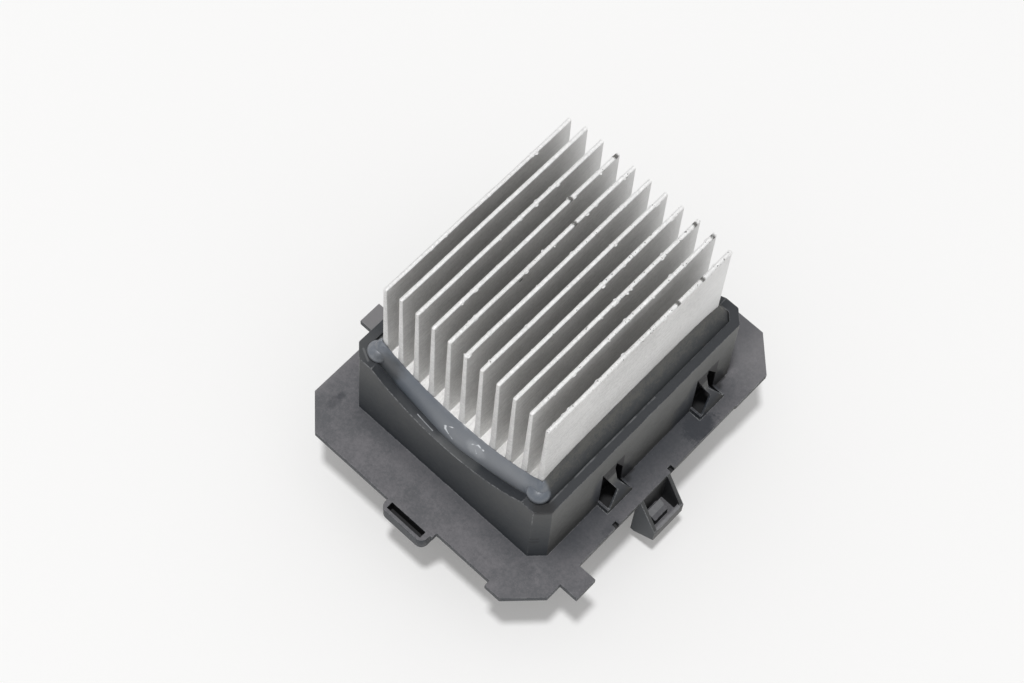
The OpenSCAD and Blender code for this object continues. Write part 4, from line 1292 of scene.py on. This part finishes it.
@dataclass
class Carrier:
    """Moulded housing with softened edges."""

    edge_round: float = 0.22 * MM
    segments: int = 2
    weld: float = 0.002 * MM
    flat_deg: float = 0.6
    sharp_deg: float = 32.0
    webs: tuple[tuple[Point, Point], ...] = (
        ((-3.9, -41.6, -3.75), (5.3, -39.9, -3.45)),
        ((30.5, -13.6, -1.55), (31.55, -12.4, -1.3)),
        ((30.5, 2.9, -1.55), (31.55, 4.1, -1.3)),
    )
    finish: CarrierPlastic = field(default_factory=CarrierPlastic)

    def build(self) -> bpy.types.Object:
        """Copies the CAD housing, softens its edges and lets the copy stand for it.

        Returns:
            The piece.
        """
        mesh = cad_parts["housing"].data.copy()
        mesh.name = "carrier_moulding"
        piece = bpy.data.objects.new("carrier_moulding", mesh)
        bpy.context.scene.collection.objects.link(piece)
        bm = bmesh.new()
        bm.from_mesh(mesh)
        bmesh.ops.remove_doubles(bm, verts=bm.verts, dist=self.weld)
        flat = math.radians(self.flat_deg)
        bmesh.ops.dissolve_limit(bm, angle_limit=flat, verts=bm.verts, edges=bm.edges, delimit={"NORMAL"})
        many_sided = [face for face in bm.faces if len(face.verts) > 4]
        bmesh.ops.triangulate(bm, faces=many_sided, quad_method="BEAUTY", ngon_method="BEAUTY")
        bm.to_mesh(mesh)
        bm.free()
        bevel = piece.modifiers.new("soft_edges", "BEVEL")
        bevel.width = self.edge_round
        bevel.segments = self.segments
        bevel.limit_method = "ANGLE"
        bevel.angle_limit = math.radians(self.sharp_deg)
        bevel.use_clamp_overlap = True
        bevel.harden_normals = True
        bevel.miter_outer = "MITER_SHARP"
        plastic = self.finish.build()
        mesh.materials.clear()
        for _ in range(2):
            mesh.materials.append(plastic)
        bevel.material = 1
        graph = bpy.context.evaluated_depsgraph_get()
        soft = bpy.data.meshes.new_from_object(piece.evaluated_get(graph))
        piece.modifiers.remove(bevel)
        piece.data = soft
        soft.name = "carrier_moulding"
        self._mark_edges(soft)
        self._close_slots(soft)
        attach(piece, "root")
        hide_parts("housing")
        return piece

    def _close_slots(self, mesh: bpy.types.Mesh) -> None:
        """Adds the thin webs that close the loop's slot and the two notches below.

        Args:
            mesh: The softened moulding.
        """
        bm = bmesh.new()
        bm.from_mesh(mesh)
        for low, high in self.webs:
            middle = [(a + b) / 2 * MM for a, b in zip(low, high)]
            size = [(b - a) * MM for a, b in zip(low, high)]
            place = Matrix.Translation(middle) @ Matrix.Diagonal((*size, 1.0))
            bmesh.ops.create_cube(bm, size=1.0, matrix=place)
        bm.to_mesh(mesh)
        bm.free()

    def _mark_edges(self, mesh: bpy.types.Mesh) -> None:
        """Marks the faces along the softened edges, so that the finish can paint them pale, as wear and as painted
        edge highlights.

        Args:
            mesh: The softened moulding, whose edges wear its second material slot.
        """
        marks = mesh.attributes.new("edge", "FLOAT", "FACE")
        for face in mesh.polygons:
            marks.data[face.index].value = float(face.material_index)
            face.material_index = 0
        mesh.materials.pop(index=1)


@dataclass
class InnerWorks:
    """Board, terminals and components, which keep their CAD solids and get their finishes."""

    finishes: ClassVar[Mapping[SmallFinish, tuple[str, ...]]] = {
        SmallFinish(
            "solder_mask", "board", (0.012, 0.075, 0.03), (0.02, 0.11, 0.045), Grain.ALONG_X, 0.7, 0.32, 0.1, coat=0.4
        ): ("circuit_board",),
        SmallFinish("silicone_pad", "pad", (0.42, 0.45, 0.47), (0.52, 0.55, 0.57), cell_mm=0.5, roughness=0.75): (
            "left_insulating_pad",
            "right_insulating_pad",
        ),
        SmallFinish("moulded_package", "package", (0.022, 0.022, 0.024), (0.045, 0.045, 0.048), cell_mm=0.3): (
            "left_power_transistor",
            "right_power_transistor",
            "suppressor_diode",
            "driver_chip",
        ),
        SmallFinish(
            "plated_steel", "steel", (0.50, 0.49, 0.46), (0.66, 0.65, 0.62), Grain.ALONG_Z, 0.4, 0.3, 0.1, 1.0
        ): ("transistor_screws", "board_screws"),
        SmallFinish(
            "turned_brass", "spacer", (0.62, 0.46, 0.19), (0.74, 0.58, 0.27), Grain.ALONG_Z, 0.4, 0.28, 0.1, 1.0
        ): ("board_spacers",),
        SmallFinish(
            "tinned_contact", "contact", (0.58, 0.56, 0.50), (0.72, 0.70, 0.64), Grain.ALONG_Z, 0.6, 0.32, 0.12, 1.0
        ): (
            "battery_blade",
            "ground_blade",
            "motor_supply_blade",
            "motor_return_blade",
            "control_pin",
            "sense_pin",
            "diagnostic_pin",
        ),
        SmallFinish(
            "resistance_alloy", "alloy", (0.42, 0.31, 0.23), (0.55, 0.43, 0.34), Grain.ALONG_X, 0.5, 0.38, 0.12, 1.0
        ): ("shunt_resistor",),
        SmallFinish("sleeved_can", "can", (0.03, 0.035, 0.06), (0.05, 0.055, 0.09), cell_mm=0.8, roughness=0.3): (
            "electrolytic_capacitor",
        ),
        SmallFinish("dipped_bead", "bead", (0.03, 0.13, 0.19), (0.05, 0.19, 0.27), roughness=0.22, coat=0.5): (
            "thermistor",
        ),
        SmallFinish("film_chip", "chip", (0.02, 0.02, 0.02), (0.05, 0.05, 0.05), cell_mm=0.2, roughness=0.35): (
            "chip_resistors",
        ),
        SmallFinish("tan_chip", "chip_tan", (0.36, 0.25, 0.15), (0.48, 0.36, 0.24), cell_mm=0.2, roughness=0.45): (
            "chip_capacitors",
        ),
    }

    def dress(self) -> list[str]:
        """Gives each inner CAD node its finish.

        Returns:
            The names of the nodes.
        """
        done: list[str] = []
        for finish, nodes in self.finishes.items():
            material = finish.build()
            for node in nodes:
                dress_node(node, material)
                done.append(node)
        return done


# Set: floor, light and camera


@dataclass
class PaleFloor:
    """Plain white floor under the sockets' rims."""

    z: float = -20.0 * MM
    half: float = 2.5
    tone: float = 0.80
    seen_tone: float = 0.78
    glow: Colour = (0.16 * 1.02, 0.16, 0.16 * 0.97)

    def build(self) -> bpy.types.Object:
        """Makes the floor.

        Returns:
            The floor, which isn't part of the object.
        """
        h = self.half
        corners = np.array([(-h, -h, self.z), (h, -h, self.z), (h, h, self.z), (-h, h, self.z)])
        floor = new_piece("floor", corners, [(0, 1, 2, 3)])
        floor.data.materials.append(self._material())
        return floor

    def _material(self) -> bpy.types.Material:
        """White for what looks at it, plain for its own light, and open from below.

        Returns:
            The floor's material.
        """
        coat = Coat("white_floor", Roughness=0.9, Specular_IOR_Level=0.0, Emission_Strength=1.0)
        path = coat.node("ShaderNodeLightPath")
        seen = sum(
            (Wire(coat, path.outputs[n]) for n in ("Is Glossy Ray", "Is Transmission Ray")),
            Wire(coat, path.outputs["Is Camera Ray"]),
        ).least(1.0)
        coat.dress(
            Base_Color=coat.blend(seen, (self.tone,) * 3, (self.seen_tone,) * 3),
            Emission_Color=coat.blend(seen, (0.0, 0.0, 0.0), self.glow),
        )
        behind = Wire(coat, coat.node("ShaderNodeNewGeometry").outputs["Backfacing"])
        clear = coat.node("ShaderNodeBsdfTransparent").outputs[0]
        mixed = coat.node("ShaderNodeMixShader", None, {0: behind, 1: coat.shader.outputs[0], 2: clear})
        coat.feed(coat.output.inputs["Surface"], mixed.outputs[0])
        return coat.material


@dataclass
class StudioLight:
    """Even white surroundings and one small soft lamp high on the camera's side."""

    sky: float = 0.47
    lamp_watts: float = 50.0
    lamp_size: float = 0.30
    lamp_distance: float = 3.0
    lamp_tilt_deg: float = 6.9
    lamp_azimuth_deg: float = 9.3

    def build(self) -> None:
        """Makes the world and the lamp."""
        world = bpy.data.worlds.new("studio")
        world.use_nodes = True
        background = world.node_tree.nodes["Background"]
        background.inputs["Color"].default_value = (1.0, 1.0, 1.0, 1.0)
        background.inputs["Strength"].default_value = self.sky
        bpy.context.scene.world = world
        data = bpy.data.lights.new("lamp", "AREA")
        data.shape = "DISK"
        data.size = self.lamp_size
        data.energy = self.lamp_watts
        lamp = bpy.data.objects.new("lamp", data)
        bpy.context.scene.collection.objects.link(lamp)
        tilt, azimuth = math.radians(self.lamp_tilt_deg), math.radians(self.lamp_azimuth_deg)
        away = Vector(
            (math.sin(azimuth) * math.sin(tilt), -math.cos(azimuth) * math.sin(tilt), math.cos(tilt))
        )
        lamp.location = away * self.lamp_distance
        lamp.rotation_mode = "QUATERNION"
        lamp.rotation_quaternion = away.to_track_quat("Z", "Y")


@dataclass
class PhotoCamera:
    """Camera at the photograph's viewing angle."""

    focal_px: float = 2368.086
    image_w: int = 1024
    azimuth_deg: float = 37.537
    elevation_deg: float = 65.262
    roll_deg: float = 5.9
    aside: float = -6.448 * MM
    above: float = 7.852 * MM
    distance: float = 477.748 * MM
    film_mm: float = 36.0
    clip: tuple[float, float] = (0.01, 20.0)

    def build(self) -> bpy.types.Object:
        """Makes the camera the scene's own.

        Returns:
            The camera.
        """
        az, el, roll = (math.radians(a) for a in (self.azimuth_deg, self.elevation_deg, self.roll_deg))
        back = Vector((math.sin(az) * math.cos(el), -math.cos(az) * math.cos(el), math.sin(el)))
        right = Vector((math.cos(az), math.sin(az), 0.0))
        up = back.cross(right)
        turned_right = right * math.cos(roll) + up * math.sin(roll)
        turned_up = -right * math.sin(roll) + up * math.cos(roll)
        data = bpy.data.cameras.new("photo_camera")
        data.sensor_width = self.film_mm
        data.lens = self.focal_px / self.image_w * data.sensor_width
        data.clip_start, data.clip_end = self.clip
        camera = bpy.data.objects.new("photo_camera", data)
        bpy.context.scene.collection.objects.link(camera)
        place = turned_right * self.aside + turned_up * self.above + back * self.distance
        turn = Matrix((turned_right, turned_up, back)).transposed().to_4x4()
        camera.matrix_world = Matrix.Translation(place) @ turn
        bpy.context.scene.camera = camera
        return camera


def report(piece: bpy.types.Object) -> None:
    """Logs a piece with its face count and box.

    Args:
        piece: The piece.
    """
    low = np.min([v.co for v in piece.data.vertices], axis=0) / MM
    high = np.max([v.co for v in piece.data.vertices], axis=0) / MM
    LOG.info("%s: %d faces, from %s to %s mm", piece.name, len(piece.data.polygons), low.round(2), high.round(2))


def main() -> None:
    """Builds the set and the pieces, and logs each of them."""
    logging.basicConfig(level=logging.INFO, format="%(name)s: %(message)s")
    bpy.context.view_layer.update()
    bpy.context.scene.view_settings.view_transform = "Standard"
    PhotoCamera().build()
    StudioLight().build()
    PaleFloor().build()
    for assembly in (HeatSink(), Potting(), Carrier()):
        report(assembly.build())
    for node in InnerWorks().dress():
        LOG.info("%s: dressed", node)


if __name__ == "__main__":
    main()
